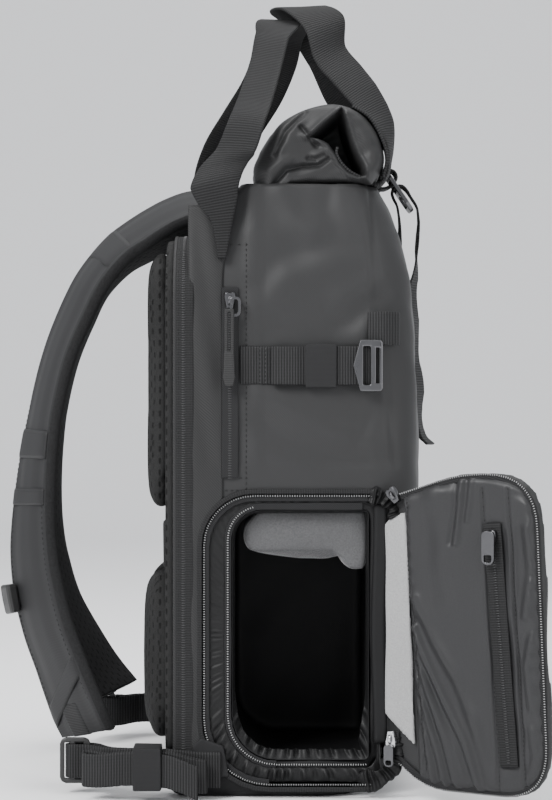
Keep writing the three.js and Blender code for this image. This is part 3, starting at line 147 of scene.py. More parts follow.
def spline(keys: Array, steps: int) -> Array:
    """A centripetal curve through keys, with any number of columns.

    Args:
        keys: The key places; the first three columns are the place.
        steps: How many stretches the curve is cut into.

    Returns:
        steps + 1 rows.
    """
    keys = np.asarray(keys, float)
    last = len(keys) - 1
    padded = np.vstack([2 * keys[0] - keys[1], keys, 2 * keys[-1] - keys[-2]])
    rows = []
    for i in range(steps + 1):
        t = i / steps * last
        k = min(int(t), last - 1)
        share = t - k
        p0, p1, p2, p3 = padded[k : k + 4]
        gaps = [max(np.linalg.norm(b[:3] - a[:3]), 1e-6) ** 0.5 for a, b in ((p0, p1), (p1, p2), (p2, p3))]
        d0, d1, d2 = gaps
        m1 = ((p1 - p0) / d0 - (p2 - p0) / (d0 + d1) + (p2 - p1) / d1) * d1
        m2 = ((p2 - p1) / d1 - (p3 - p1) / (d1 + d2) + (p3 - p2) / d2) * d1
        s2, s3 = share * share, share**3
        rows.append(
            (2 * s3 - 3 * s2 + 1) * p1 + (s3 - 2 * s2 + share) * m1 + (3 * s2 - 2 * s3) * p2 + (s3 - s2) * m2
        )
    return np.array(rows)


def length_along(line: Array) -> Array:
    """How far each point of a polyline lies from its start, along it."""
    return np.concatenate([[0], np.cumsum(np.linalg.norm(np.diff(line, axis=0), axis=1))])


def resample(points: Array, step: float, closed: bool = False) -> Array:
    """Even points along a polyline.

    Args:
        points: The polyline's points.
        step: Wanted distance between two points.
        closed: True if it ends where it starts.

    Returns:
        The even points; a closed line doesn't repeat its first one.
    """
    line = np.vstack([points, points[:1]]) if closed else np.asarray(points, float)
    run = length_along(line)
    count = max(2, int(round(run[-1] / step)))
    places = np.linspace(0, run[-1], count + 1)[: count if closed else count + 1]
    return np.stack([np.interp(places, run, line[:, k]) for k in range(line.shape[1])], axis=1)


def rounded_rect(
    x0: float, y0: float, x1: float, y1: float, radii: Sequence[float], steps: int = 8, crown: float = 0.0
) -> Array:
    """A rounded rectangle, anticlockwise from its low x, low y corner.

    Args:
        x0: Low x.
        y0: Low y.
        x1: High x.
        y1: High y.
        radii: The four corners' radii.
        steps: Stretches in each corner.
        crown: How far the high x side bulges in its middle.

    Returns:
        The outline's points.
    """
    centres = (
        (x0 + radii[0], y0 + radii[0], 180),
        (x1 - radii[1], y0 + radii[1], 270),
        (x1 - radii[2], y1 - radii[2], 0),
        (x0 + radii[3], y1 - radii[3], 90),
    )
    middle, half = (y0 + y1) / 2, (y1 - y0) / 2
    points = []

    def bulge(y: float) -> float:
        """Bulge of the high x side at y."""
        return crown * (1 - ((y - middle) / half) ** 2)

    for index, (cx, cy, start) in enumerate(centres):
        for i in range(steps + 1):
            a = math.radians(start + 90 * i / steps)
            y = cy + radii[index] * math.sin(a)
            x = cx + radii[index] * math.cos(a)
            if index in (1, 2):
                x += max(0.0, math.cos(a)) * bulge(y)
            points.append((x, y))
        if index == 1 and crown:
            for y in np.linspace(cy, centres[2][1], 12)[1:-1]:
                points.append((x1 + bulge(y), y))
    return np.array(points)


def inset(points: Array, distance: float) -> Array:
    """Moves a closed anticlockwise outline in by a distance, or out if it is negative."""
    before = unit(points - np.roll(points, 1, axis=0))
    after = unit(np.roll(points, -1, axis=0) - points)
    turned = before + after
    normal = unit(np.stack([-turned[:, 1], turned[:, 0]], axis=1))
    lean = np.maximum((normal * np.stack([-before[:, 1], before[:, 0]], axis=1)).sum(axis=1), 0.5)
    return points + normal * (distance / lean)[:, None]


# Meshes


def new_object(name: str, mesh: bpy.types.Mesh) -> bpy.types.Object:
    """Links a mesh to the scene as an object at the origin."""
    piece = bpy.data.objects.new(name, mesh)
    bpy.context.scene.collection.objects.link(piece)
    return piece


def make_mesh(
    name: str, points: Array, faces: Sequence[Sequence[int]], uv: Optional[Array] = None
) -> bpy.types.Object:
    """Makes an object from points in millimetres.

    Args:
        name: The piece's name.
        points: Its points, in millimetres.
        faces: Point numbers of each face.
        uv: A pattern place for each point, in millimetres.

    Returns:
        The object, smooth shaded, with its faces pointing out.
    """
    mesh = bpy.data.meshes.new(name)
    mesh.from_pydata((np.asarray(points) * MM).tolist(), [], [tuple(f) for f in faces])
    mesh.update()
    piece = new_object(name, mesh)
    if uv is not None:
        lay_pattern(piece, uv)
    outward(piece)
    return piece


def lay_pattern(piece: bpy.types.Object, places: Array) -> None:
    """Stores pattern places, one for each point, as the piece's UV map."""
    mesh = piece.data
    layer = mesh.uv_layers.new(name="pattern")
    index = np.empty(len(mesh.loops), dtype=np.int32)
    mesh.loops.foreach_get("vertex_index", index)
    layer.data.foreach_set("uv", (places[index] * MM).astype(np.float32).ravel())


def outward(piece: bpy.types.Object) -> None:
    """Merges doubles, turns the faces outwards and shades them smooth."""
    work = bmesh.new()
    work.from_mesh(piece.data)
    bmesh.ops.remove_doubles(work, verts=work.verts, dist=1e-6)
    bmesh.ops.recalc_face_normals(work, faces=work.faces)
    for face in work.faces:
        face.smooth = True
    work.to_mesh(piece.data)
    work.free()


def grid_faces(rows: int, cols: int, around: bool) -> list[tuple[int, int, int, int]]:
    """Faces of a grid of points, joined round its columns if around."""
    faces = []
    for i in range(rows - 1):
        for j in range(cols if around else cols - 1):
            k = (j + 1) % cols
            faces.append((i * cols + j, i * cols + k, (i + 1) * cols + k, (i + 1) * cols + j))
    return faces


def bake(piece: bpy.types.Object) -> bpy.types.Object:
    """Turns a piece with its modifiers into a plain mesh."""
    seen = piece.evaluated_get(bpy.context.evaluated_depsgraph_get())
    mesh = bpy.data.meshes.new_from_object(seen)
    old = piece.data
    piece.modifiers.clear()
    piece.data = mesh
    bpy.data.meshes.remove(old)
    return piece


def solid_copy(node: str, name: str) -> bpy.types.Object:
    """A copy of a solid with its doubles merged and its flat faces joined."""
    piece = new_object(name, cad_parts[node].data.copy())
    piece.data.materials.clear()
    work = bmesh.new()
    work.from_mesh(piece.data)
    bmesh.ops.remove_doubles(work, verts=work.verts, dist=1e-6)
    bmesh.ops.dissolve_limit(work, angle_limit=math.radians(0.5), verts=work.verts, edges=work.edges)
    work.to_mesh(piece.data)
    work.free()
    return piece


def remesh(piece: bpy.types.Object, voxel: float) -> bpy.types.Object:
    """Gives a piece an even mesh of one face size, in millimetres."""
    change = piece.modifiers.new("even", "REMESH")
    change.mode = "VOXEL"
    change.voxel_size = voxel * MM
    change.use_smooth_shade = True
    return bake(piece)


def soften(piece: bpy.types.Object, factor: float, times: int) -> bpy.types.Object:
    """Rounds a piece's edges off by smoothing its points."""
    change = piece.modifiers.new("soft", "SMOOTH")
    change.factor = factor
    change.iterations = times
    return bake(piece)


def thicken(piece: bpy.types.Object, thickness: float, offset: float = -1.0) -> bpy.types.Object:
    """Gives a sheet its thickness, in millimetres, on its inner side."""
    skin = piece.modifiers.new("wall", "SOLIDIFY")
    skin.thickness = thickness * MM
    skin.offset = offset
    return bake(piece)


def refine(piece: bpy.types.Object) -> bpy.types.Object:
    """Adds one subdivision level to a piece."""
    change = piece.modifiers.new("fine", "SUBSURF")
    change.levels = 1
    change.render_levels = 1
    return bake(piece)


def rounded_edges(piece: bpy.types.Object, width: float, segments: int = 2) -> None:
    """Bevels a piece's sharp edges, in millimetres, as a modifier."""
    change = piece.modifiers.new("edges", "BEVEL")
    change.width = width * MM
    change.segments = segments
    change.limit_method = "ANGLE"
    change.angle_limit = math.radians(35)
    change.use_clamp_overlap = True


def read_points(piece: bpy.types.Object) -> tuple[Array, Array]:
    """A piece's points and their normals, in millimetres."""
    count = len(piece.data.vertices)
    places, normals = np.empty(count * 3), np.empty(count * 3)
    piece.data.vertices.foreach_get("co", places)
    piece.data.vertices.foreach_get("normal", normals)
    return places.reshape(-1, 3) / MM, normals.reshape(-1, 3)


def sculpt(piece: bpy.types.Object, shape: Callable[[Array, Array], Array]) -> bpy.types.Object:
    """Moves a piece's points.

    Args:
        piece: The piece.
        shape: Gives the new points from the points and their normals, in millimetres.

    Returns:
        The piece.
    """
    points, normals = read_points(piece)
    moved = shape(points, normals) * MM
    piece.data.vertices.foreach_set("co", moved.astype(np.float32).ravel())
    piece.data.update()
    return piece


def soft_solid(
    node: str, name: str, voxel: float, times: int, wave: tuple[float, float, int] = (0.0, 1.0, 0),
    factor: float = 0.5,
) -> bpy.types.Object:
    """A solid's copy with an even mesh, soft edges and a slightly uneven face.

    Args:
        node: The solid's node.
        name: The copy's name.
        voxel: Face size, in millimetres.
        times: How often it is smoothed.
        wave: Height and length of its unevenness, in millimetres, and its seed.
        factor: How much each smoothing does.

    Returns:
        The piece.
    """
    piece = soften(remesh(solid_copy(node, name), voxel), factor, times)
    high, length, seed = wave
    if high:
        sculpt(piece, lambda p, n: p + n * (high * waves(p, length, seed))[:, None])
    return piece


def inflate(piece: bpy.types.Object, voxel: float, cap: float, pressure: float = 4.0) -> bpy.types.Object:
    """Fills a padded piece out by a short cloth simulation.

    Args:
        piece: The piece, a little smaller than it will be.
        voxel: Face size for the simulation, in millimetres.
        cap: The furthest that a point may move, in millimetres.
        pressure: Pressure inside.

    Returns:
        The piece with the result in its mesh.
    """
    remesh(piece, voxel)
    before, _ = read_points(piece)
    cloth = piece.modifiers.new("fill", "CLOTH")
    cloth.settings.use_pressure = True
    cloth.settings.uniform_pressure_force = pressure
    cloth.settings.effector_weights.gravity = 0
    cloth.settings.quality = 5
    scene = bpy.context.scene
    for number in range(1, 21):
        scene.frame_set(number)
    bake(piece)
    scene.frame_set(1)
    after, _ = read_points(piece)
    step = after - before
    far = np.linalg.norm(step, axis=1, keepdims=True)
    capped = before + step * np.minimum(1, cap / np.maximum(far, 1e-6))
    sculpt(piece, lambda points, normals: capped)
    return refine(piece)


# Finishes


class Weave(Enum):
    """How a cloth's surface is made."""

    TWILL = "diagonal twill"
    RIB = "ribs across the strap"
    MESH = "spacer mesh with slots"
    PILE = "short pile"
    PLAIN = "fine plain weave"


def add_node(
    tree: bpy.types.NodeTree, kind: str, links: Optional[dict] = None, **settings: object
) -> bpy.types.Node:
    """Adds one node.

    Args:
        tree: The tree.
        kind: The node's type.
        links: For each input, by name or number, a value or an output socket.
        **settings: The node's own properties.

    Returns:
        The node.
    """
    node = tree.nodes.new(kind)
    for key, value in settings.items():
        setattr(node, key, value)
    for key, value in (links or {}).items():
        socket = node.inputs[key]
        if isinstance(value, bpy.types.NodeSocket):
            tree.links.new(value, socket)
        else:
            socket.default_value = value
    return node


def maths(tree: bpy.types.NodeTree, operation: str, *values: object) -> bpy.types.NodeSocket:
    """One Math node with its inputs in order."""
    links = dict(enumerate(values))
    return add_node(tree, "ShaderNodeMath", links, operation=operation).outputs[0]


@dataclass(frozen=True)
class Cloth:
    """A woven, knitted or coated cloth.

    The pitch is the real spacing of its threads, ribs or slots; where that is finer than the
    picture can show, it is drawn as coarse as it needs to be seen.
    """

    name: str
    slot: str
    colour: str
    shade: str
    weave: Weave
    pitch: float
    depth: float
    roughness: float
    sheen: float = 0.0
    follows: bool = False
    specular: float = 0.22

    def height(self, tree: bpy.types.NodeTree) -> bpy.types.NodeSocket:
        """The weave's height, from 0 to 1."""
        if self.follows:
            place = add_node(tree, "ShaderNodeUVMap", uv_map="pattern").outputs[0]
        else:
            place = add_node(tree, "ShaderNodeTexCoord").outputs["Object"]
        fine = 0.3142 / (self.pitch * MM)
        if self.weave is Weave.TWILL:
            return add_node(
                tree,
                "ShaderNodeTexWave",
                {"Vector": place, "Scale": fine * 1.4, "Distortion": 0.4, "Detail": 1.0, "Detail Scale": 2.0},
                bands_direction="DIAGONAL",
            ).outputs["Fac"]
        if self.weave is Weave.RIB:
            axis = "X" if self.follows else "Z"
            rib = add_node(
                tree,
                "ShaderNodeTexWave",
                {"Vector": place, "Scale": fine, "Distortion": 0.5, "Detail": 1.0, "Detail Scale": 3.0},
                bands_direction=axis,
            ).outputs["Fac"]
            thread = add_node(
                tree,
                "ShaderNodeTexWave",
                {"Vector": place, "Scale": fine * 0.9, "Distortion": 0.3},
                bands_direction="Y",
            ).outputs["Fac"]
            return maths(tree, "MULTIPLY_ADD", thread, 0.1, maths(tree, "MULTIPLY", rib, 0.9))
        if self.weave is Weave.MESH:
            return self.slots(tree, place)
        scale = 1 / (self.pitch * MM)
        detail = 3.0 if self.weave is Weave.PILE else 1.0
        return add_node(
            tree, "ShaderNodeTexNoise", {"Vector": place, "Scale": scale, "Detail": detail}
        ).outputs["Fac"]

    def slots(self, tree: bpy.types.NodeTree, place: bpy.types.NodeSocket) -> bpy.types.NodeSocket:
        """Upright slots in offset columns, 0 inside a slot and 1 between them."""
        split = add_node(tree, "ShaderNodeSeparateXYZ", {0: place})
        if self.follows:
            across, along = split.outputs[1], split.outputs[0]
        else:
            # Sides of a pad are measured front to back, its face from side to side.
            facing = add_node(tree, "ShaderNodeNewGeometry").outputs["True Normal"]
            turned = add_node(tree, "ShaderNodeSeparateXYZ", {0: facing})
            sideways = maths(
                tree,
                "GREATER_THAN",
                maths(tree, "ABSOLUTE", turned.outputs[1]),
                maths(tree, "ABSOLUTE", turned.outputs[0]),
            )
            step = maths(tree, "SUBTRACT", split.outputs[0], split.outputs[1])
            across = maths(tree, "MULTIPLY_ADD", step, sideways, split.outputs[1])
            along = split.outputs[2]
        column = maths(tree, "DIVIDE", across, self.pitch * MM)
        whole = maths(tree, "FLOOR", column)
        offset = maths(tree, "MULTIPLY", maths(tree, "FLOORED_MODULO", whole, 2.0), 0.5)
        row = maths(tree, "ADD", maths(tree, "DIVIDE", along, self.pitch * 1.5 * MM), offset)
        gap_across = maths(tree, "ABSOLUTE", maths(tree, "SUBTRACT", maths(tree, "FRACT", column), 0.5))
        gap_along = maths(tree, "ABSOLUTE", maths(tree, "SUBTRACT", maths(tree, "FRACT", row), 0.5))
        past = maths(tree, "MAXIMUM", maths(tree, "SUBTRACT", gap_along, 0.18), 0.0)
        wide = maths(tree, "MULTIPLY", gap_across, 3.6)
        far = maths(tree, "MINIMUM", maths(tree, "ADD", wide, maths(tree, "MULTIPLY", past, 7.0)), 1.0)
        rim = maths(tree, "SMOOTH_MIN", far, 1.0, 0.3)
        grain = add_node(
            tree, "ShaderNodeTexNoise", {"Vector": place, "Scale": 1400.0, "Detail": 1.0}
        ).outputs["Fac"]
        return maths(tree, "MULTIPLY", rim, maths(tree, "MULTIPLY_ADD", grain, 0.7, 0.5))

    def make(self) -> bpy.types.Material:
        """Builds the material."""
        material = bpy.data.materials.new(self.name)
        material.use_nodes = True
        tree = material.node_tree
        shader = tree.nodes["Principled BSDF"]
        height = self.height(tree)
        place = add_node(tree, "ShaderNodeTexCoord").outputs["Object"]
        cloud = add_node(
            tree, "ShaderNodeTexNoise", {"Vector": place, "Scale": 14.0, "Detail": 3.0}
        ).outputs["Fac"]
        drift = maths(tree, "MULTIPLY_ADD", cloud, 0.35, -0.17)
        share = maths(tree, "ADD", height, drift)
        colour = add_node(
            tree,
            "ShaderNodeMix",
            {0: share, 6: hex_linear(self.shade), 7: hex_linear(self.colour)},
            data_type="RGBA",
            clamp_factor=True,
        )
        tree.links.new(colour.outputs[2], shader.inputs["Base Color"])
        bump = add_node(
            tree, "ShaderNodeBump", {"Strength": 0.9, "Distance": self.depth * MM, "Height": height}
        )
        tree.links.new(bump.outputs[0], shader.inputs["Normal"])
        shader.inputs["Roughness"].default_value = self.roughness
        shader.inputs["Specular IOR Level"].default_value = self.specular
        shader.inputs["Sheen Weight"].default_value = self.sheen
        shader.inputs["Sheen Roughness"].default_value = 0.4
        return material


@dataclass(frozen=True)
class Hard:
    """A moulded or metal surface with a faint grain."""

    name: str
    slot: str
    colour: str
    roughness: float
    metallic: float = 0.0
    grain: float = 0.02

    def make(self) -> bpy.types.Material:
        """Builds the material."""
        material = bpy.data.materials.new(self.name)
        material.use_nodes = True
        tree = material.node_tree
        shader = tree.nodes["Principled BSDF"]
        place = add_node(tree, "ShaderNodeTexCoord").outputs["Object"]
        grain = add_node(
            tree, "ShaderNodeTexNoise", {"Vector": place, "Scale": 1800.0, "Detail": 2.0}
        ).outputs["Fac"]
        cloud = add_node(
            tree, "ShaderNodeTexNoise", {"Vector": place, "Scale": 120.0, "Detail": 2.0}
        ).outputs["Fac"]
        rough = maths(tree, "MULTIPLY_ADD", cloud, 0.2, self.roughness - 0.1)
        tree.links.new(rough, shader.inputs["Roughness"])
        bump = add_node(
            tree, "ShaderNodeBump", {"Strength": 0.5, "Distance": self.grain * MM, "Height": grain}
        )
        tree.links.new(bump.outputs[0], shader.inputs["Normal"])
        shader.inputs["Base Color"].default_value = hex_linear(self.colour)
        shader.inputs["Metallic"].default_value = self.metallic
        return material


# Coated nylon: a fine twill under a thin matt film, so broad soft highlights.
COATED = Cloth("coated nylon", "coated", "2e2e2f", "282828", Weave.TWILL, 0.9, 0.02, 0.5)
# The same cloth on the shoulder straps, in a darker colour as painted shade because the straps face the
# light.
SHADED_STRAP_FACE = Cloth("coated nylon strap", "coated", "202021", "1b1b1c", Weave.TWILL, 0.9, 0.02, 0.62)
# Rolled top: the same cloth, its twill nearer to the eye in the folds.
COLLAR = Cloth("coated nylon collar", "coated", "2b2b2b", "222223", Weave.TWILL, 1.1, 0.04, 0.5)
# Heavier nylon twill of the gusset, with an open diagonal.
TWILL = Cloth("nylon twill", "twill", "2d2d2d", "1d1d1e", Weave.TWILL, 1.3, 0.09, 0.6)
# Dark padded cloth of the tub and the bay, nearly smooth.
TUB = Cloth("dark padded nylon", "base", "141415", "0d0d0e", Weave.TWILL, 1.0, 0.03, 0.6)
# Woven webbing, ribbed across its length.
WEBBING = Cloth("nylon webbing", "webbing", "2c2c2d", "0e0e0e", Weave.RIB, 1.8, 0.3, 0.7, 0.0, True)
# The handles' webbing, darker as painted shade because the handles face the top light, and duller.
SHADED_HANDLE_WEB = Cloth(
    "nylon handle webbing", "webbing", "222223", "0b0b0b", Weave.RIB, 1.8, 0.3, 0.75, 0.0, True
)
# The same webbing where it lies flat and upright, ribbed by its place.
WEBBING_FREE = Cloth("nylon webbing patch", "webbing", "272728", "121212", Weave.RIB, 1.8, 0.2, 0.7)
# Smooth grosgrain binding of the keepers and bands.
BINDING = Cloth("grosgrain binding", "webbing", "232324", "19191a", Weave.RIB, 0.8, 0.06, 0.75, 0.0, True)
# Spacer mesh over foam, with open slots.
MESH = Cloth("spacer mesh", "mesh", "262626", "030303", Weave.MESH, 5.2, 0.8, 0.9)
# Close knit along the straps' edges.
KNIT = Cloth("strap edge knit", "mesh", "262627", "0d0d0d", Weave.PILE, 1.3, 0.5, 0.95)
# The same spacer mesh under the straps, its slots laid along them.
STRAP_MESH = Cloth("strap spacer mesh", "mesh", "202021", "030303", Weave.MESH, 4.6, 0.6, 0.9, 0.0, True)
# Nylon lining, thin and a little shiny.
LINING = Cloth("lining nylon", "lining", "313132", "282829", Weave.PLAIN, 0.7, 0.02, 0.42)
# Thin black lining, gathered round the bay.
DARK_LINING = Cloth("dark lining nylon", "lining", "181819", "0e0e0e", Weave.PLAIN, 0.7, 0.04, 0.5)
# Short brushed pile of the divider and of the door's hinge.
PLUSH = Cloth("grey plush", "plush", "5f5f60", "404041", Weave.PILE, 1.1, 0.5, 1.0, 0.4)
PALE_PLUSH = Cloth("pale plush", "pale_plush", "a4a4a4", "868686", Weave.PILE, 1.1, 0.5, 1.0, 0.3)
# Woven zip tape.
TAPE = Cloth("zip tape", "zip", "262627", "161617", Weave.TWILL, 1.0, 0.08, 0.8)
# The same tape with its ribs, laid along the zip.
TAPE_RIBBED = Cloth("ribbed zip tape", "zip", "262627", "151515", Weave.RIB, 1.6, 0.15, 0.8, 0.0, True)
# Nylon coil of the zips, polished by use.
COIL = Hard("nylon coil", "zip", "8b8b8b", 0.28)
# Dyed coil of the shut zips, dull among its tapes.
DARK_COIL = Hard("dark nylon coil", "zip", "2c2c2d", 0.5)
# Bonded thread: a dull dark dash for each stitch, and a paler one on the side strap.
THREAD = Hard("sewing thread", "webbing", "101010", 0.8)
PALE_THREAD = Hard("lighter sewing thread", "webbing", "303031", 0.8)
# Injection-moulded buckles and clips, half glossy.
PLASTIC = Hard("moulded nylon", "plastic", "1d1d1d", 0.42)
# Braided cord of the pocket's pull, ribbed like its grip.
CORD = Cloth("braided cord", "rubber", "313131", "1e1e1f", Weave.RIB, 1.2, 0.12, 0.7)
# Gunmetal plating, catching the light on its rounded edges.
GUNMETAL = Hard("gunmetal plating", "hardware", "5e5e60", 0.3, 1.0)
# Bright nickel plating of the door's low slider.
SILVER = Hard("nickel plating", "silver", "c4c4c6", 0.25, 1.0)
FINISHES = (
    COATED, SHADED_STRAP_FACE, COLLAR, TWILL, TUB, WEBBING, SHADED_HANDLE_WEB, WEBBING_FREE, BINDING,
    MESH, KNIT, STRAP_MESH, LINING, DARK_LINING, PLUSH, PALE_PLUSH, TAPE, TAPE_RIBBED,
    COIL, DARK_COIL, THREAD, PALE_THREAD, PLASTIC, CORD, GUNMETAL, SILVER,
)
MATERIALS = {finish.name: finish.make() for finish in FINISHES}


def place(
    piece: bpy.types.Object,
    finish: Cloth | Hard,
    replaces: Sequence[str] = (),
) -> bpy.types.Object:
    """Gives a piece its finish and its place in the frame.

    Args:
        piece: The piece, with its modifiers applied.
        finish: Its finish.
        replaces: The solids that it stands for.

    Returns:
        The piece.
    """
    if not piece.data.materials:
        piece.data.materials.append(MATERIALS[finish.name])
    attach(piece, PACK)
    if replaces:
        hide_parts(*replaces)
    LOG.info("%s: %d faces", piece.name, len(piece.data.polygons))
    return piece


def dress_solid(node: str, finish: Cloth | Hard, edge: float = 0.4) -> None:
    """Finishes a solid that keeps its own shape, with its edges broken."""
    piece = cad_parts[node]
    piece.data.materials.clear()
    piece.data.materials.append(MATERIALS[finish.name])
    if edge:
        merge = piece.modifiers.new("joined", "WELD")
        merge.merge_threshold = 1e-6
        rounded_edges(piece, edge)
    LOG.info("%s: dressed as %s", node, finish.name)


# What repeats: teeth and stitches


def bead_tree() -> bpy.types.NodeTree:
    """Geometry nodes that set rounded beads along a line of points.

    Returns:
        The tree, with inputs for pitch, length, width, height and material.
    """
    tree = bpy.data.node_groups.new("beads along a line", "GeometryNodeTree")
    face = tree.interface
    face.new_socket("Line", in_out="INPUT", socket_type="NodeSocketGeometry")
    for label in ("Pitch", "Length", "Width", "Height"):
        face.new_socket(label, in_out="INPUT", socket_type="NodeSocketFloat")
    face.new_socket("Material", in_out="INPUT", socket_type="NodeSocketMaterial")
    face.new_socket("Beads", in_out="OUTPUT", socket_type="NodeSocketGeometry")
    given = add_node(tree, "NodeGroupInput").outputs
    curve = add_node(tree, "GeometryNodeMeshToCurve", {0: given["Line"]}).outputs[0]
    even = add_node(
        tree, "GeometryNodeResampleCurve", {"Curve": curve, "Length": given["Pitch"]}, mode="LENGTH"
    ).outputs[0]
    size = add_node(
        tree,
        "ShaderNodeCombineXYZ",
        {0: given["Length"], 1: given["Width"], 2: given["Height"]},
    ).outputs[0]
    block = add_node(tree, "GeometryNodeMeshCube", {"Size": size}).outputs[0]
    bead = add_node(tree, "GeometryNodeSubdivisionSurface", {"Mesh": block, "Level": 1}).outputs[0]
    smooth = add_node(tree, "GeometryNodeSetShadeSmooth", {0: bead}).outputs[0]
    tangent = add_node(tree, "GeometryNodeInputTangent").outputs[0]
    across = add_node(
        tree, "GeometryNodeInputNamedAttribute", {"Name": "across"}, data_type="FLOAT_VECTOR"
    ).outputs[0]
    along = add_node(
        tree, "FunctionNodeAlignRotationToVector", {"Vector": tangent}, axis="X"
    ).outputs[0]
    turned = add_node(
        tree,
        "FunctionNodeAlignRotationToVector",
        {"Rotation": along, "Vector": across},
        axis="Y",
        pivot_axis="X",
    ).outputs[0]
    spread = add_node(
        tree,
        "GeometryNodeInstanceOnPoints",
        {"Points": even, "Instance": smooth, "Rotation": turned},
    ).outputs[0]
    real = add_node(tree, "GeometryNodeRealizeInstances", {0: spread}).outputs[0]
    dressed = add_node(
        tree, "GeometryNodeSetMaterial", {"Geometry": real, "Material": given["Material"]}
    ).outputs[0]
    add_node(tree, "NodeGroupOutput", {0: dressed})
    return tree


BEADS = bead_tree()


def beads(
    name: str,
    runs: Sequence[tuple[Array, Array]],
    finish: Hard,
    pitch: float,
    size: tuple[float, float, float],
) -> bpy.types.Object:
    """Sets beads, as teeth or stitches, along lines.

    Args:
        name: The piece's name.
        runs: For each line its points, and the direction across it at each, in millimetres.
        finish: The beads' finish.
        pitch: Distance between two beads, in millimetres.
        size: One bead's length, width and height, in millimetres.

    Returns:
        The piece.
    """
    points = np.vstack([run[0] for run in runs])
    across = np.vstack([np.broadcast_to(run[1], run[0].shape) for run in runs])
    edges, start = [], 0
    for line, _ in runs:
        edges += [(start + i, start + i + 1) for i in range(len(line) - 1)]
        start += len(line)
    mesh = bpy.data.meshes.new(name)
    mesh.from_pydata((points * MM).tolist(), edges, [])
    store = mesh.attributes.new("across", "FLOAT_VECTOR", "POINT")
    store.data.foreach_set("vector", unit(across).astype(np.float32).ravel())
    piece = new_object(name, mesh)
    change = piece.modifiers.new("beads", "NODES")
    change.node_group = BEADS
    values = dict(zip(("Length", "Width", "Height"), size), Pitch=pitch)
    for item in BEADS.interface.items_tree:
        if item.name in values:
            change[item.identifier] = values[item.name] * MM
        elif item.name == "Material":
            change[item.identifier] = MATERIALS[finish.name]
    bake(piece)
    return place(piece, finish)


@dataclass
class Ribbon:
    """A flat strap, web or tape through stations.

    Attributes:
        points: The middle line, in millimetres.
        across: The direction across the strap at each point.
        width: Its width.
        thickness: Its thickness.
        wide: Its width at each point as a share, if it changes.
        edge: Radius of its long edges as a share of its thickness.
        profile: Its section, where that isn't a flat band.
    """

    points: Array
    across: Array
    width: float
    thickness: float
    wide: Optional[Array] = None
    edge: float = 0.4
    profile: Optional[Array] = None

    def faces_out(self) -> Array:
        """The direction out of the strap's face at each point."""
        along = unit(np.gradient(self.points, axis=0))
        return unit(np.cross(along, self.across))

    def section(self) -> Array:
        """The strap's section as points across and out, for a width of one on each side."""
        if self.profile is not None:
            return self.profile
        t, soft = self.thickness / 2, self.thickness * self.edge
        w = self.width / 2
        turns = np.linspace(0, math.pi / 2, 3)
        arc = [(w - soft + soft * math.cos(a), t - soft + soft * math.sin(a)) for a in turns]
        top = [(x, t) for x in np.linspace(w - soft, -w + soft, 7)[1:-1]]
        left = [(-x, y) for x, y in reversed(arc)]
        upper = arc + top + left
        return np.array(upper + [(-x, -y) for x, y in upper])

    def mesh(self, name: str, shape: Optional[Callable[[Array, Array], Array]] = None) -> bpy.types.Object:
        """Builds the strap.

        Args:
            name: The piece's name.
            shape: Changes the section's places, from the share along and the section.

        Returns:
            The piece, with its pattern places along and across in millimetres.
        """
        out = self.faces_out()
        across = unit(self.across)
        wide = np.ones(len(self.points)) if self.wide is None else self.wide
        section = self.section()
        run = length_along(self.points)
        rings, uv = [], []
        for i, point in enumerate(self.points):
            ring = section * (wide[i], 1)
            if shape:
                ring = shape(np.array([run[i], run[-1]]), ring)
            rings.append(point + ring[:, :1] * across[i] + ring[:, 1:] * out[i])
            uv.append(np.stack([np.full(len(ring), run[i]), ring[:, 0]], axis=1))
        count = len(section)
        points = np.vstack(rings)
        faces: list[Sequence[int]] = list(grid_faces(len(rings), count, True))
        faces += [tuple(range(count - 1, -1, -1)), tuple(range(len(points) - count, len(points)))]
        return make_mesh(name, points, faces, np.vstack(uv))


def strap_path(rows: Sequence[Sequence[float]], steps: int) -> tuple[Array, Array, Array]:
    """Stations from rows of x, y, z, width share and the direction across.

    Args:
        rows: The rows, in millimetres.
        steps: Stretches of the curve.

    Returns:
        Points, directions across, and width shares.
    """
    table = np.array(rows, float)
    points = spline(table[:, :3], steps)
    places = np.linspace(0, len(table) - 1, steps + 1)
    turns = unit(table[:, 4:7])
    across = np.stack([np.interp(places, range(len(table)), turns[:, k]) for k in range(3)], axis=1)
    wide = np.interp(places, range(len(table)), table[:, 3])
    return points, unit(across), wide


def flat_path(points: Array, across: Sequence[float]) -> tuple[Array, Array]:
    """A path whose direction across is the same all along."""
    return points, np.broadcast_to(np.array(across, float), points.shape).copy()


def plane_path(outline: Array, y: float) -> tuple[Array, Array]:
    """A path in X and Z at one y, with the direction across in that plane."""
    along = unit(np.gradient(outline, axis=0))
    points = np.stack([outline[:, 0], np.full(len(outline), y), outline[:, 1]], axis=1)
    across = np.stack([along[:, 1], np.zeros(len(outline)), -along[:, 0]], axis=1)
    return points, across


# The pack's own surfaces


def shell_at(height: float) -> tuple[float, float, float]:
    """How far back, forward and sideways the body's cloth lies at a height, in millimetres."""
    table = np.array(SHELL_ROWS)
    share = height / BODY_HEIGHT
    back, front, wide = (np.interp(share, table[:, 0], table[:, k]) for k in (1, 2, 3))
    return back * SHELL_BACK, front * SHELL_FRONT, wide * HALF_WIDTH


def side_y(height: float, off: float = 0.0) -> float:
    """The near side's y at a height, standing off it."""
    return -shell_at(height)[2] - off


BAY_CUT = rounded_rect(-57.5, 7.0, 62.0, 198.0, (44, 10, 10, 34), 8)
CUBE_SIDE = rounded_rect(-47.0, 15.0, 60.5, 196.0, (38, 12, 12, 28), 7)


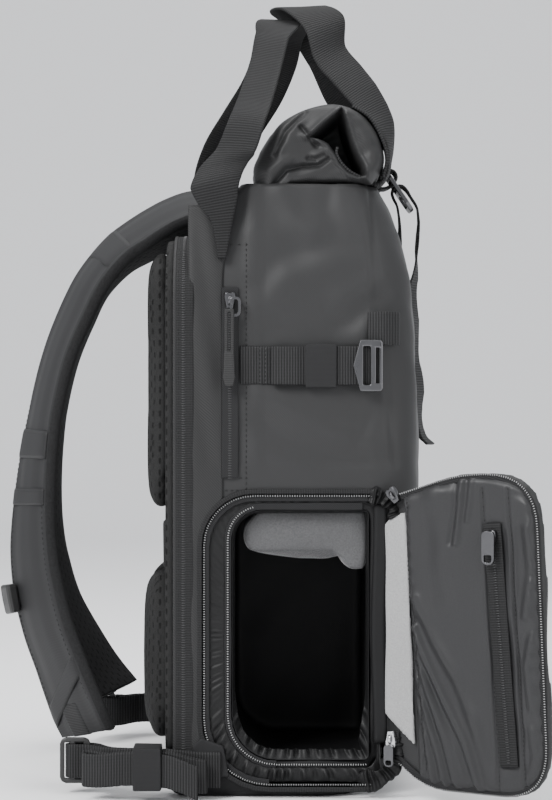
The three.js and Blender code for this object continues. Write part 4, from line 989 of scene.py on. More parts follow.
@dataclass
class BodyShell:
    """The body's coated cloth, open at its top and over the camera bay."""

    columns: int = 300
    rows: int = 118
    corner_front: float = 30.0
    corner_back: float = 5.0
    crown: float = 5.0
    wall: float = 1.6
    dent: float = 1.5
    seam: float = 1.1

    FOLDS = (
        (((-20, 334), (-8, 350), (14, 358), (42, 363)), -1.5, 9.0),
        (((-14, 324), (0, 340), (22, 348), (46, 350)), 1.5, 11.0),
        (((60, 326), (50, 322), (40, 312), (30, 306)), -1.7, 7.0),
        (((58, 340), (48, 332), (34, 325)), 1.5, 8.0),
        (((61, 312), (52, 308), (46, 300), (50, 292)), 1.3, 6.0),
        (((-6, 395), (2, 378), (14, 366)), 1.8, 7.0),
        (((26, 398), (24, 384), (30, 370)), -1.4, 6.0),
        (((44, 396), (46, 380), (48, 366)), 1.4, 5.0),
        (((-20, 300), (-6, 306), (14, 300)), -1.4, 7.0),
        (((-16, 262), (6, 250), (30, 238), (56, 232)), 2.0, 9.0),
        (((-20, 246), (0, 232), (24, 222), (48, 216)), -1.8, 8.0),
        (((-18, 226), (8, 214), (30, 208)), 1.4, 7.0),
        (((54, 266), (52, 250), (44, 232)), -1.2, 5.0),
    )

    def ring(self, height: float) -> Array:
        """The outline at a height, with its points spread evenly."""
        back, front, wide = shell_at(height)
        corner = min(self.corner_front, 0.45 * (front + back))
        outline = rounded_rect(
            -back, -wide, front, wide, (self.corner_back, corner, corner, self.corner_back), 10, self.crown
        )
        return resample(outline, 1.0, True)

    def outside(self) -> tuple[Array, int]:
        """The grid of the outer surface, from the base up, and its ring length."""
        heights = np.linspace(BASE_HEIGHT + 0.1, BODY_HEIGHT, self.rows)
        rings = []
        for height in heights:
            ring = resample(self.ring(height), 0.5, True)
            # Every ring starts at the middle of the back, so that its columns stay upright.
            start = np.argmin(np.abs(ring[:, 1]) + 1000 * (ring[:, 0] > 0))
            ring = np.roll(ring, -start, axis=0)
            run = length_along(ring)
            places = np.linspace(0, run[-1], self.columns, endpoint=False)
            even = np.stack([np.interp(places, run, ring[:, k]) for k in (0, 1)], axis=1)
            rings.append(np.column_stack([even, np.full(len(even), height)]))
        return np.vstack(rings), self.columns

    def relief(self, points: Array, normals: Array) -> Array:
        """Dents, seams and slack of the cloth.

        Args:
            points: The outer surface's points.
            normals: Their normals.

        Returns:
            The moved points.
        """
        x, y, z = points.T
        near, front = -normals[:, 1], np.maximum(normals[:, 0], 0)
        inside = ramp(z, 26, 60)
        quiet = 1 - 0.75 * np.exp(-(((y + 140) / 12) ** 2)) * (z < 215)
        move = self.dent * 0.55 * waves(points, 120, 5) * inside
        move += 0.45 * waves(points, 38, 11) * inside
        side = np.stack([x, z], axis=1)
        on_side = ramp(near, 0.3, 0.9)
        # Soft vertical tension folds above the side strap and below the roll's seam.
        folds = np.sin(x / 8.5 + 0.012 * z + 0.8 * np.sin(z / 37)) * np.exp(-(((z - 372) / 42) ** 2))
        move += 0.6 * folds * ramp(np.abs(normals[:, 1]) + front, 0.2, 0.9)
        # The strap pulls the side in along its line.
        move -= 1.5 * on_side * np.exp(-(((z - 281) / 17) ** 2)) * ramp(x, -45, -20)
        # A dimple over the corner loop and the seam of the front panel.
        move -= 2.2 * np.exp(-(((x - 68) / 10) ** 2) - (((z - 318) / 6) ** 2)) * (y < 0)
        front_seam = ((52.5, 398), (55.5, 340), (58, 318), (63, 280), (66, 240), (70, 205))
        for hand in (-1, 1):
            reach = (hand * y > 0) * ramp(np.hypot(normals[:, 0], normals[:, 1]), 0.5, 0.9)
            move -= self.seam * ridge(side, front_seam, 1.9) * reach
            move += 0.7 * ridge(side + (3.5, 0), front_seam, 2.4) * reach
        # Broad soft folds of the near side, as lines in x and z with height and width.
        for line, high, wide in self.FOLDS:
            move += high * ridge(side, line, wide) * on_side * (y < 0)
        # The pocket's flap along its zip.
        move += 1.0 * on_side * ramp(x, -30, -27) * (1 - ramp(x, -21, -18)) * ramp(z, 206, 212)
        # The cloth's edge is turned in round the bay.
        gap = ridge(side, np.vstack([inset(BAY_CUT, -4.5), inset(BAY_CUT, -4.5)[:1]]), 2.0)
        move -= 0.6 * gap * on_side
        low = shell_at(0)[0]
        back = ramp(-normals[:, 0], 0.6, 0.9) * (x < -low * 0.5)
        return points + normals * (np.clip(move, -3.4, 2.6) * quiet * (1 - back))[:, None]

    def build(self) -> bpy.types.Object:
        """Builds the cloth."""
        points, count = self.outside()
        piece = make_mesh("body_cloth", points, grid_faces(self.rows, count, True))
        sculpt(piece, self.relief)
        thicken(piece, self.wall)
        cutter = self.cutter()
        cut = piece.modifiers.new("bay", "BOOLEAN")
        cut.operation = "DIFFERENCE"
        cut.solver = "EXACT"
        cut.object = cutter
        bake(piece)
        bpy.data.objects.remove(cutter)
        for face in piece.data.polygons:
            face.use_smooth = True
        return place(piece, COATED, ("body_shell",))

    def cutter(self) -> bpy.types.Object:
        """The bay's opening as a prism through the near side."""
        outline = BAY_CUT
        count = len(outline)
        near = np.column_stack([outline[:, 0], np.full(count, -170.0), outline[:, 1]])
        far = np.column_stack([outline[:, 0], np.full(count, -100.0), outline[:, 1]])
        faces: list[Sequence[int]] = list(grid_faces(2, count, True))
        faces += [tuple(range(count - 1, -1, -1)), tuple(range(count, 2 * count))]
        return make_mesh("bay_cutter", np.vstack([near, far]), faces)

    def stitches(self) -> list[bpy.types.Object]:
        """The rows of stitches beside the pocket's zip, across its top and boxed below it."""
        row, high, low = -28.5, 360.0, 208.0
        down = np.array([[row, side_y(z, 0.4), z] for z in np.linspace(high, low, 76)])
        over = np.array([[x, side_y(high, 0.4), high] for x in np.linspace(row, -38, 8)])
        box = [(row, low), (row, 200), (-50, 200), (-50, low), (row, low)]
        close = resample(np.array([[x, side_y(z, 0.4), z] for x, z in box]), 2.0)
        facing = np.array((0.0, -1.0, 0.0))
        runs = []
        for line in (down, over, close):
            along = unit(np.gradient(line, axis=0))
            lying = self.relief(line, np.broadcast_to(facing, line.shape))
            runs.append((lying, np.cross(along, facing)))
        return [beads("side_stitches", runs, THREAD, 3.4, (2.3, 0.7, 0.7))]


@dataclass
class BaseTub:
    """The padded tub under the body."""

    voxel: float = 2.4

    def build(self) -> bpy.types.Object:
        """Builds the tub from its solid, with softer edges and a few dents."""
        piece = soft_solid("base_tub", "base_cloth", self.voxel, 4)
        sculpt(piece, self.dents)
        return place(piece, TUB, ("base_tub",))

    def dents(self, points: Array, normals: Array) -> Array:
        """Dents the sides, and leaves the face that it stands on flat."""
        move = 0.5 * waves(points, 45, 3) * (1 - ramp(normals[:, 2], 0.3, 0.8)) * ramp(points[:, 2], 1, 5)
        return points + normals * move[:, None]


@dataclass
class BackAssembly:
    """The zipped back: gusset, panel, zip and padding."""

    half: float = HALF_WIDTH
    tape_x: float = -68.6
    tape_width: float = 11.6
    coil_x: float = -69.2
    piping_x: float = -74.9
    seams_x: tuple[float, float] = (-64.8, -72.6)
    panel_edge: float = -43.5

    def build(self) -> None:
        """Builds and dresses the back's pieces."""
        gusset = soft_solid("back_gusset", "back_gusset_cloth", 2.6, 3)
        sculpt(gusset, self.slack)
        place(gusset, TWILL, ("back_gusset",))
        place(soft_solid("back_panel", "back_panel_cloth", 2.8, 3), MESH, ("back_panel",))
        self.zip()
        for node in ("back_pad_upper", "back_pad_lower"):
            pad = solid_copy(node, f"{node}_padded")
            sculpt(pad, lambda p, n: p + (1.5, 0, 0))
            inflate(pad, 5.0, 4.0)
            place(pad, MESH, (node,))
        self.side_panels()
        band = remesh(solid_copy("luggage_band", "luggage_band_cloth"), 1.6)
        sculpt(band, lambda p, n: p + n * (0.25 * waves(p, 40, 9))[:, None])
        place(band, TWILL, ("luggage_band",))

    def zip(self) -> None:
        """The ribbed tape round the back's frame, with its coil and its piping."""
        half, low, high, corner = self.half + 0.3, 4.0, 366.4, 44.0
        outline = rounded_rect(-half, low, half, high, (8, 8, corner, corner), 14)
        path = resample(outline, 3.0, True)
        start = np.argmin(path[:, 1] + 0.01 * np.abs(path[:, 0]))
        path = np.roll(path, -start, axis=0)
        path = np.vstack([path, path[:1]])
        along = unit(np.gradient(path, axis=0))
        out = np.stack([along[:, 1], -along[:, 0]], axis=1)

        def run(x: float, off: float) -> Array:
            """The frame's line at one x, standing off it."""
            moved = path + out * off
            return np.column_stack([np.full(len(moved), x), moved])

        across = np.broadcast_to((1.0, 0.0, 0.0), (len(path), 3))
        tape = Ribbon(run(self.tape_x, 0.9), across, self.tape_width, 1.0)
        place(tape.mesh("back_zip_tape"), TAPE_RIBBED, ("back_zip",))
        binding = Ribbon(run(self.piping_x, 0.5), across, 2.6, 2.4)
        place(binding.mesh("back_piping"), TWILL)
        coil("back_coil", run(self.coil_x, 1.4), across, DARK_COIL, True)
        seams = [(run(x, 1.5), across) for x in self.seams_x]
        beads("back_zip_stitches", seams, THREAD, 3.2, (2.2, 0.6, 0.4))

    def bay_edge(self, z: float) -> float:
        """Where the bay's turned edge starts at a height, in x."""
        if z > 199:
            return 0.0
        if z > 164:
            return -23.5 - math.sqrt(max(0.0, 35.5**2 - (z - 164) ** 2))
        if z < 51:
            return -13.5 - math.sqrt(45.5**2 - (51 - z) ** 2)
        return -59.0

    def side_panels(self) -> None:
        """The twill sewn over the shell's back corners, from the zip to the side pocket."""
        heights = np.linspace(27, 386, 120)
        for hand, name in ((-1, "near"), (1, "far")):
            rows = []
            for z in heights:
                wide = shell_at(z)[2]
                front_edge = min(self.panel_edge + 5.0 * ramp(z, 335, 385), self.bay_edge(z))
                xs = np.linspace(-66.5, front_edge, 16)
                puff = 0.9 * np.sin(np.linspace(0, math.pi, 16)) ** 0.5
                fold = 0.7 * ramp(z, 205, 225) * np.sin(z / 16.0 + xs / 3.4)
                unevenness = 0.25 * np.sin(z / 13.0 + xs / 9.0)
                ys = wide + 0.9 + puff + (unevenness + fold) * (puff / 0.9)
                ys = ys - 0.5 * (1 - ramp(xs, -66.5, -62.0))
                rows.append(np.column_stack([xs, hand * ys, np.full(16, z)]))
            piece = make_mesh(f"twill_side_{name}", np.vstack(rows), grid_faces(len(rows), 16, False))
            thicken(piece, 1.0)
            outward(piece)
            place(piece, TWILL)

    def slack(self, points: Array, normals: Array) -> Array:
        """Shallow waves of the gusset's cloth."""
        side = ramp(np.abs(normals[:, 1]), 0.4, 0.9)
        move = 0.45 * waves(points, 55, 21) + 0.2 * waves(points, 22, 22)
        return points + normals * (move * side)[:, None]


def coil(
    name: str, points: Array, across: Array, finish: Hard = COIL, closed: bool = False
) -> bpy.types.Object:
    """A zip's coil of rounded teeth along a line.

    Args:
        name: The piece's name.
        points: The line.
        across: The direction across it.
        finish: The teeth's finish.
        closed: True for a shut zip, whose teeth reach across both tapes.

    Returns:
        The piece.
    """
    width = 3.4 if closed else 1.7
    return beads(name, [(points, across)], finish, 1.6, (0.85, width, 1.1))


def zip_slider(
    name: str, node: str, finish: Hard, at: Sequence[float], up: Sequence[float], out: Sequence[float],
    size: tuple[float, float, float] = (8.0, 11.0, 3.4),
) -> bpy.types.Object:
    """A cast slider: a tapered plate with a shoulder, and a bridge for its pull.

    Args:
        name: The piece's name.
        node: The solid that it stands for.
        finish: Its finish.
        at: The middle of its outer face.
        up: The direction of its wide end.
        out: The direction out of the tape.
        size: Its width, length and thickness.

    Returns:
        The piece.
    """
    up_axis, out_axis = unit(np.array(up, float)), unit(np.array(out, float))
    right = np.cross(up_axis, out_axis)
    wide, long, thick = size[0] / 2, size[1] / 2, size[2]
    # One side from the narrow end up, as shares of half the width and half the length.
    half = ((0.55, -1), (0.72, -0.35), (0.98, 0.3), (0.9, 0.85), (0.5, 1), (0.12, 0.86))
    outline = [(x * wide, y * long) for x, y in half] + [(-x * wide, y * long) for x, y in reversed(half)]
    outline = outline[-1:] + outline[:-1]
    count = len(outline)
    rings = []
    levels = ((-thick, 0.94), (-thick * 0.75, 1.0), (-thick * 0.3, 1.0), (-0.02, 0.86), (0.0, 0.74))
    for depth, shrink in levels:
        rings.append(np.array([(x * shrink, y * (0.5 + 0.5 * shrink), depth) for x, y in outline]))
    faces: list[Sequence[int]] = list(grid_faces(len(rings), count, True))
    faces += [tuple(range(count - 1, -1, -1)), tuple(range(4 * count, 5 * count))]
    arch = ((-0.55, -0.4), (-0.35, 1.1), (0.2, 1.3), (0.5, -0.4))
    line = spline([(0.0, y * long, z) for y, z in arch], 12)
    bridge = Ribbon(line, np.broadcast_to((1.0, 0.0, 0.0), line.shape), 2.2, 0.9)
    plate = make_mesh(name, np.vstack(rings), faces)
    strip = bridge.mesh(f"{name}_bridge")
    work = bmesh.new()
    work.from_mesh(plate.data)
    work.from_mesh(strip.data)
    work.to_mesh(plate.data)
    work.free()
    bpy.data.objects.remove(strip)
    turn = np.stack([right, up_axis, out_axis])
    sculpt(plate, lambda p, n: p @ turn + np.array(at, float))
    outward(plate)
    rounded_edges(plate, 0.3, 2)
    bake(plate)
    return place(plate, finish, (node,))


def soft_web(
    node: str, finish: Cloth, axis: int, across: int, voxel: float = 0.9, wave: float = 0.15
) -> bpy.types.Object:
    """Rebuilds a web from its solid, with soft edges and its pattern laid along one axis.

    Args:
        node: The solid's node.
        finish: The web's finish.
        axis: The axis along the web.
        across: The axis across it.
        voxel: Face size.
        wave: Height of the small unevenness of its face.

    Returns:
        The piece.
    """
    piece = soft_solid(node, f"{node}_woven", voxel, 2, (wave, 30, 17))
    points, _ = read_points(piece)
    lay_pattern(piece, points[:, [axis, across]])
    return place(piece, finish, (node,))


@dataclass
class RollTop:
    """The rolled collar: creased coated cloth with its mouth at each end.

    Its end is drawn as one sheet round a centre, from the mouth out to the roll's outline, and
    then runs on across the pack. Places are x and z in millimetres.
    """

    columns: int = 300
    cap_rows: int = 62
    run_rows: int = 56
    face: float = 129.0
    turned: float = 12.0
    mouth_depth: float = 46.0

    CENTRE = (20.0, 424.0)
    OUTLINE = (
        (53.7, 400.7), (59.6, 407.9), (62.2, 415.7), (60.9, 425.6), (56.3, 436.7), (47.2, 447.1),
        (36.0, 452.4), (26.2, 453.7), (13.1, 451.1), (3.3, 447.1), (-6.5, 440.6), (-14.3, 430.1),
        (-20.9, 419.0), (-24.1, 410.5), (-22.8, 401.3), (-18.3, 392.2), (-11.7, 391.5),
        (-3.2, 397.4), (6.6, 398.9), (32.8, 400.2),
    )
    MOUTH = (
        (34.5, 451.0), (29.5, 446.0), (22.5, 440.0), (16.0, 433.8), (12.5, 430.9), (19.0, 429.6),
        (25.0, 426.5), (29.0, 421.0), (32.5, 414.0), (38.0, 408.0), (45.0, 404.5), (49.8, 405.5),
        (48.5, 411.0), (45.0, 418.0), (41.0, 427.0), (38.2, 436.0), (36.0, 445.0),
    )
    # Sharp creases, and soft folds with their height and width.
    CREASES = (
        ((24.5, 416.5), (19.0, 412.5), (8.0, 411.8), (-2.0, 409.5), (-9.0, 402.0), (-13.5, 392.5)),
        ((7.3, 437.5), (12.5, 431.0), (17.0, 425.5)),
        ((10.0, 447.5), (-3.0, 434.0), (-10.0, 419.0)),
        ((22.0, 419.0), (17.0, 416.5), (12.0, 417.0)),
    )
    FOLDS = (
        (((-18.0, 396.0), (-14.0, 405.0), (-5.0, 412.5)), 4.2, 5.0),
        (((1.0, 415.5), (12.0, 416.0), (22.0, 419.5)), 2.6, 4.0),
        (((2.0, 437.0), (-8.0, 420.0), (-14.0, 409.0)), 2.4, 6.0),
        (((33.0, 449.5), (22.0, 442.0), (10.0, 431.5)), 2.4, 4.0),
        (((41.0, 446.0), (49.0, 434.0), (54.0, 420.0), (54.0, 409.0)), 6.5, 8.0),
        (((0.0, 404.0), (16.0, 405.5), (36.0, 403.5)), 1.6, 5.0),
    )

    def inside(self, plane: Array, outline: Array) -> Array:
        """Distance inside a closed outline; below zero outside it."""
        near = np.full(len(plane), 1e9)
        odd = np.zeros(len(plane), bool)
        for a, b in zip(outline, np.roll(outline, -1, axis=0)):
            step = b - a
            share = np.clip((plane - a) @ step / (step @ step), 0, 1)
            near = np.minimum(near, np.linalg.norm(plane - a - share[:, None] * step, axis=1))
            crosses = (a[1] > plane[:, 1]) != (b[1] > plane[:, 1])
            at = a[0] + (plane[:, 1] - a[1]) / (b[1] - a[1] + 1e-12) * (b[0] - a[0])
            odd ^= crosses & (plane[:, 0] < at)
        return np.where(odd, near, -near)

    def height(self, plane: Array) -> Array:
        """How far the end of the roll stands out at places in x and z."""
        rise = 1.2 * waves(plane, 34, 33) + 0.5 * waves(plane, 13, 34)
        for line, high, wide in self.FOLDS:
            rise += high * ridge(plane, line, wide)
        for line in self.CREASES:
            rise -= 3.0 * ridge(plane, line, 1.7)
        mouth = np.array(self.MOUTH)
        depth = self.inside(plane, mouth)
        rise -= self.mouth_depth * ramp(depth, -0.2, 4.0)
        # The cloth thickens where it turns in at the mouth.
        rise += 1.6 * np.exp(-(((depth + 1.6) / 1.5) ** 2))
        return rise

    def rows(self) -> list[Array]:
        """The rings of the whole roll, from the near mouth to the far one."""
        outline = spline([(x, z, 0.0) for x, z in (*self.OUTLINE, self.OUTLINE[0])], 400)[:-1, :2]
        edge = polar(outline, self.CENTRE, self.columns)
        centre = np.array(self.CENTRE)
        end = []
        for share in np.linspace(0.0, 1.0, self.cap_rows):
            reach = 0.02 + 0.98 * share
            plane = centre + (edge - centre) * reach
            soft = self.turned * (1 - np.sqrt(1 - (share**5) ** 2 * 0.999))
            stand = self.face + self.height(plane) * (1 - share**9) - soft
            end.append(np.column_stack([plane[:, 0], -np.maximum(stand, 60.0), plane[:, 1]]))
        middle = []
        for share in np.linspace(0, 1, self.run_rows)[1:-1]:
            y = -(self.face - self.turned) * (1 - 2 * share)
            inner = ramp(np.array(abs(y)), 117, 100)
            plane = edge.copy()
            plane[:, 1] = np.where(plane[:, 1] < 402, plane[:, 1] + inner * (402 - plane[:, 1]), plane[:, 1])
            place = np.column_stack([plane[:, 0], np.full(len(plane), y), plane[:, 1]])
            move = 1.1 * waves(place, 60, 35) + 0.7 * waves(place * (1, 2.5, 1), 40, 36)
            out = unit(plane - centre)
            plane = plane + out * (np.minimum(move, 0.8) * ramp(plane[:, 1], 402, 410))[:, None]
            middle.append(np.column_stack([plane[:, 0], np.full(len(plane), y), plane[:, 1]]))
        far = [ring * (1, -1, 1) for ring in reversed(end)]
        return end + middle + far

    def build(self) -> None:
        """Builds the roll's cloth and its bound edges."""
        rings = self.rows()
        faces: list[Sequence[int]] = list(grid_faces(len(rings), self.columns, True))
        total = len(rings) * self.columns
        faces += [tuple(range(self.columns - 1, -1, -1)), tuple(range(total - self.columns, total))]
        piece = make_mesh("roll_top_cloth", np.vstack(rings), faces)
        place(piece, COLLAR, ("roll_top",))
        self.lips()

    def lips(self) -> None:
        """The webbing bound into the mouth and along the roll's outer turn."""
        inner = ((31.2, 424.5, 0), (30.6, 420.5, 0), (33.5, 414.5, 0), (39.5, 408.5, 0), (47.5, 404.2, 0))
        outer = ((41, 452, 0), (52, 445, 0), (60, 432, 0), (64, 418, 0), (61.5, 406, 0))
        for hand in (-1, 1):
            for name, keys, y, width in (("inner", inner, 124.5, 9.0), ("outer", outer, 118.0, 12.0)):
                line = spline([(x, hand * y, z) for x, z, _ in keys], 48)
                ribbon = Ribbon(line, np.broadcast_to((0.0, -1.0, 0.0), line.shape), width, 2.0)
                side = "near" if hand < 0 else "far"
                place(ribbon.mesh(f"roll_{name}_edge_{side}"), WEBBING)


@dataclass
class CarryHandles:
    """The two webbing handles sewn to the sides and over the roll."""

    width: float = 34.0
    thickness: float = 2.6
    height: float = 130.0

    BACK = (
        # x, y and z as shares of the front's depth, half the width and the height; share of
        # the width; direction across
        (-0.525, -1.008, -0.38, 0.15, 1, 0, 0),
        (-0.525, -1.012, -0.19, 0.42, 1, 0, 0.1),
        (-0.555, -1.014, -0.1, 0.75, 1, 0, 0.2),
        (-0.575, -1.012, 0, 1, 1, 0, 0.22),
        (-0.52, -0.97, 0.09, 1, 0.93, -0.25, 0.12),
        (-0.43, -0.965, 0.165, 1, 0.75, -0.65, -0.1),
        (-0.34, -0.93, 0.32, 1, 0.68, -0.7, -0.15),
        (-0.275, -0.78, 0.45, 1, 0.66, -0.72, -0.15),
        (-0.185, -0.56, 0.67, 1, 0.62, -0.75, -0.2),
        (-0.135, -0.4, 0.835, 1, 0.66, -0.7, -0.2),
        (-0.075, -0.24, 0.93, 1, 0.92, -0.25, -0.05),
        (-0.01, 0, 0.97, 1, 1, 0, 0),
        (-0.08, 0.24, 0.925, 1, 0.95, 0.2, -0.1),
        (-0.12, 0.38, 0.83, 1, 0.9, 0.25, -0.3),
        (-0.23, 0.52, 0.68, 1, 0.85, 0.3, -0.4),
        (-0.4, 0.64, 0.52, 1, 0.85, 0.3, -0.42),
        (-0.57, 0.77, 0.36, 1, 0.9, 0.25, -0.25),
        (-0.66, 0.9, 0.19, 1, 1, 0.1, 0.1),
        (-0.62, 0.985, 0.03, 1, 1, 0, 0.15),
        (-0.56, 1.014, -0.1, 0.75, 1, 0, 0.15),
        (-0.525, 1.012, -0.2, 0.42, 1, 0, 0.1),
        (-0.525, 1.008, -0.38, 0.15, 1, 0, 0),
    )
    FRONT = (
        (0.62, -0.68, 0.016, 1, 0, 1, 0),
        (0.71, -0.68, 0.018, 1, 0, 1, 0),
        (0.775, -0.68, 0.07, 1, 0.05, 1, 0),
        (0.797, -0.675, 0.15, 1, 0.1, 1, 0),
        (0.8, -0.665, 0.235, 1, 0.2, 0.98, 0.05),
        (0.768, -0.64, 0.335, 1, 0.38, 0.9, 0.2),
        (0.695, -0.61, 0.415, 1, 0.5, 0.8, 0.32),
        (0.59, -0.56, 0.517, 1, 0.56, 0.71, 0.42),
        (0.47, -0.5, 0.621, 1, 0.58, 0.69, 0.43),
        (0.34, -0.43, 0.735, 1, 0.6, 0.68, 0.43),
        (0.29, -0.35, 0.91, 1, 0.75, 0.45, 0.3),
        (0.14, -0.22, 1.01, 1, 0.92, 0.3, 0.1),
        (0.04, 0, 1.03, 1, 1, 0, 0),
        (0.16, 0.22, 1.01, 1, 0.92, -0.3, 0.1),
        (0.32, 0.36, 0.85, 1, 0.65, -0.65, 0.38),
        (0.45, 0.46, 0.68, 1, 0.6, -0.68, 0.43),
        (0.6, 0.54, 0.54, 1, 0.56, -0.71, 0.42),
        (0.72, 0.6, 0.41, 1, 0.45, -0.82, 0.28),
        (0.8, 0.65, 0.28, 1, 0.2, -0.98, 0.05),
        (0.805, 0.675, 0.16, 1, 0.1, -1, 0),
        (0.775, 0.68, 0.07, 1, 0.05, -1, 0),
        (0.71, 0.68, 0.018, 1, 0, -1, 0),
        (0.62, 0.68, 0.016, 1, 0, -1, 0),
    )

    def build(self) -> None:
        """Builds both handles."""
        for node, rows in (("handle_back", self.BACK), ("handle_front", self.FRONT)):
            table = np.array(rows, float)
            table[:, :3] *= (SHELL_FRONT, HALF_WIDTH, self.height)
            table[:, 2] += BODY_HEIGHT
            points, across, wide = strap_path(table, 260)
            ribbon = Ribbon(points, across, self.width, self.thickness, wide)
            place(ribbon.mesh(f"{node}_woven", self.cup), SHADED_HANDLE_WEB, (node,))

    def cup(self, run: Array, ring: Array) -> Array:
        """Cups the webbing a little and thins its selvedges."""
        share = np.abs(ring[:, 0]) / (self.width / 2)
        bow = 0.8 * share**2 * math.sin(run[0] / 47)
        return np.stack([ring[:, 0], ring[:, 1] * (1 - 0.25 * share**6) + bow], axis=1)


@dataclass
class FrontClosure:
    """The hook, its loop on the roll, and the strap down the front."""

    def build(self) -> None:
        """Dresses the hook and rebuilds the webs."""
        dress_solid("closure_hook", GUNMETAL, 0.7)
        soft_web("closure_loop", WEBBING, 2, 1)
        strap = soft_web("closure_strap", WEBBING, 2, 1)
        sculpt(strap, self.hang)

    def hang(self, points: Array, normals: Array) -> Array:
        """Twists the free strap, waves its edges and thickens its turned hem."""
        z = points[:, 2]
        low, high = z.min(), z.max()
        share = (high - z) / (high - low)
        bins = np.linspace(low, high, 40)
        place_in = np.clip(np.searchsorted(bins, z), 1, 39)
        known = np.unique(place_in)
        mean = [points[place_in == k, 0].mean() for k in known]
        middle = np.interp(z, bins[known], mean)
        turn = 0.3 * ramp(share, 0.12, 0.5) + 0.08 * np.sin(share * 19)
        x, y = points[:, 0] - middle, points[:, 1]
        hem = 1 + 0.55 * ramp(share, 0.93, 0.95)
        x = x * hem
        wave = 0.9 * np.sin(share * 26) * ramp(share, 0.2, 0.4)
        new_x = middle + x * np.cos(turn) + y * np.sin(turn) + wave
        return np.stack([new_x, y * np.cos(turn) - x * np.sin(turn), z], axis=1)


@dataclass
class SideStrap:
    """The near side's webbing with its keeper and hook."""

    def build(self) -> None:
        """Dresses the strap's pieces."""
        soft_web("side_web", WEBBING, 0, 2)
        soft_web("side_web_tail", WEBBING, 0, 2, 0.7)
        soft_web("side_keeper", BINDING, 2, 0, 0.6, 0.1)
        soft_web("corner_loop", WEBBING, 0, 2, 0.8)
        dress_solid("side_hook", GUNMETAL, 0.8)
        y = side_y(281, 3.4)
        dash = [
            (np.array([(x, y, z) for z in np.linspace(270, 292, 12)]), (1.0, 0.0, 0.0))
            for x in (-19.5, -16.0)
        ]
        beads("side_web_stitches", dash, PALE_THREAD, 2.6, (1.8, 0.6, 0.5))


@dataclass
class SidePocket:
    """The near side's pocket zip with its slider, ring and cord pull."""

    x: float = -39.0
    low: float = 208.0
    high: float = 332.0

    def build(self) -> None:
        """Dresses the zip."""
        soft_web("pocket_zip", TAPE, 2, 0, 0.8, 0.1)
        line = np.array([(self.x, side_y(z, 1.6), z) for z in np.linspace(self.high - 6, self.low, 60)])
        points, across = flat_path(line, (1, 0, 0))
        coil("pocket_coil", points, across, DARK_COIL, True)
        top = self.high - 8.5
        at = (self.x, side_y(top, 5.5), top)
        zip_slider("pocket_slider_cast", "pocket_slider", GUNMETAL, at, (0, 0, 1), (0, -1, 0))
        dress_solid("pocket_ring", GUNMETAL, 0.5)
        pull = soft_solid("pocket_pull", "pocket_pull_cord", 0.45, 6, factor=0.6)
        place(pull, CORD, ("pocket_pull",))


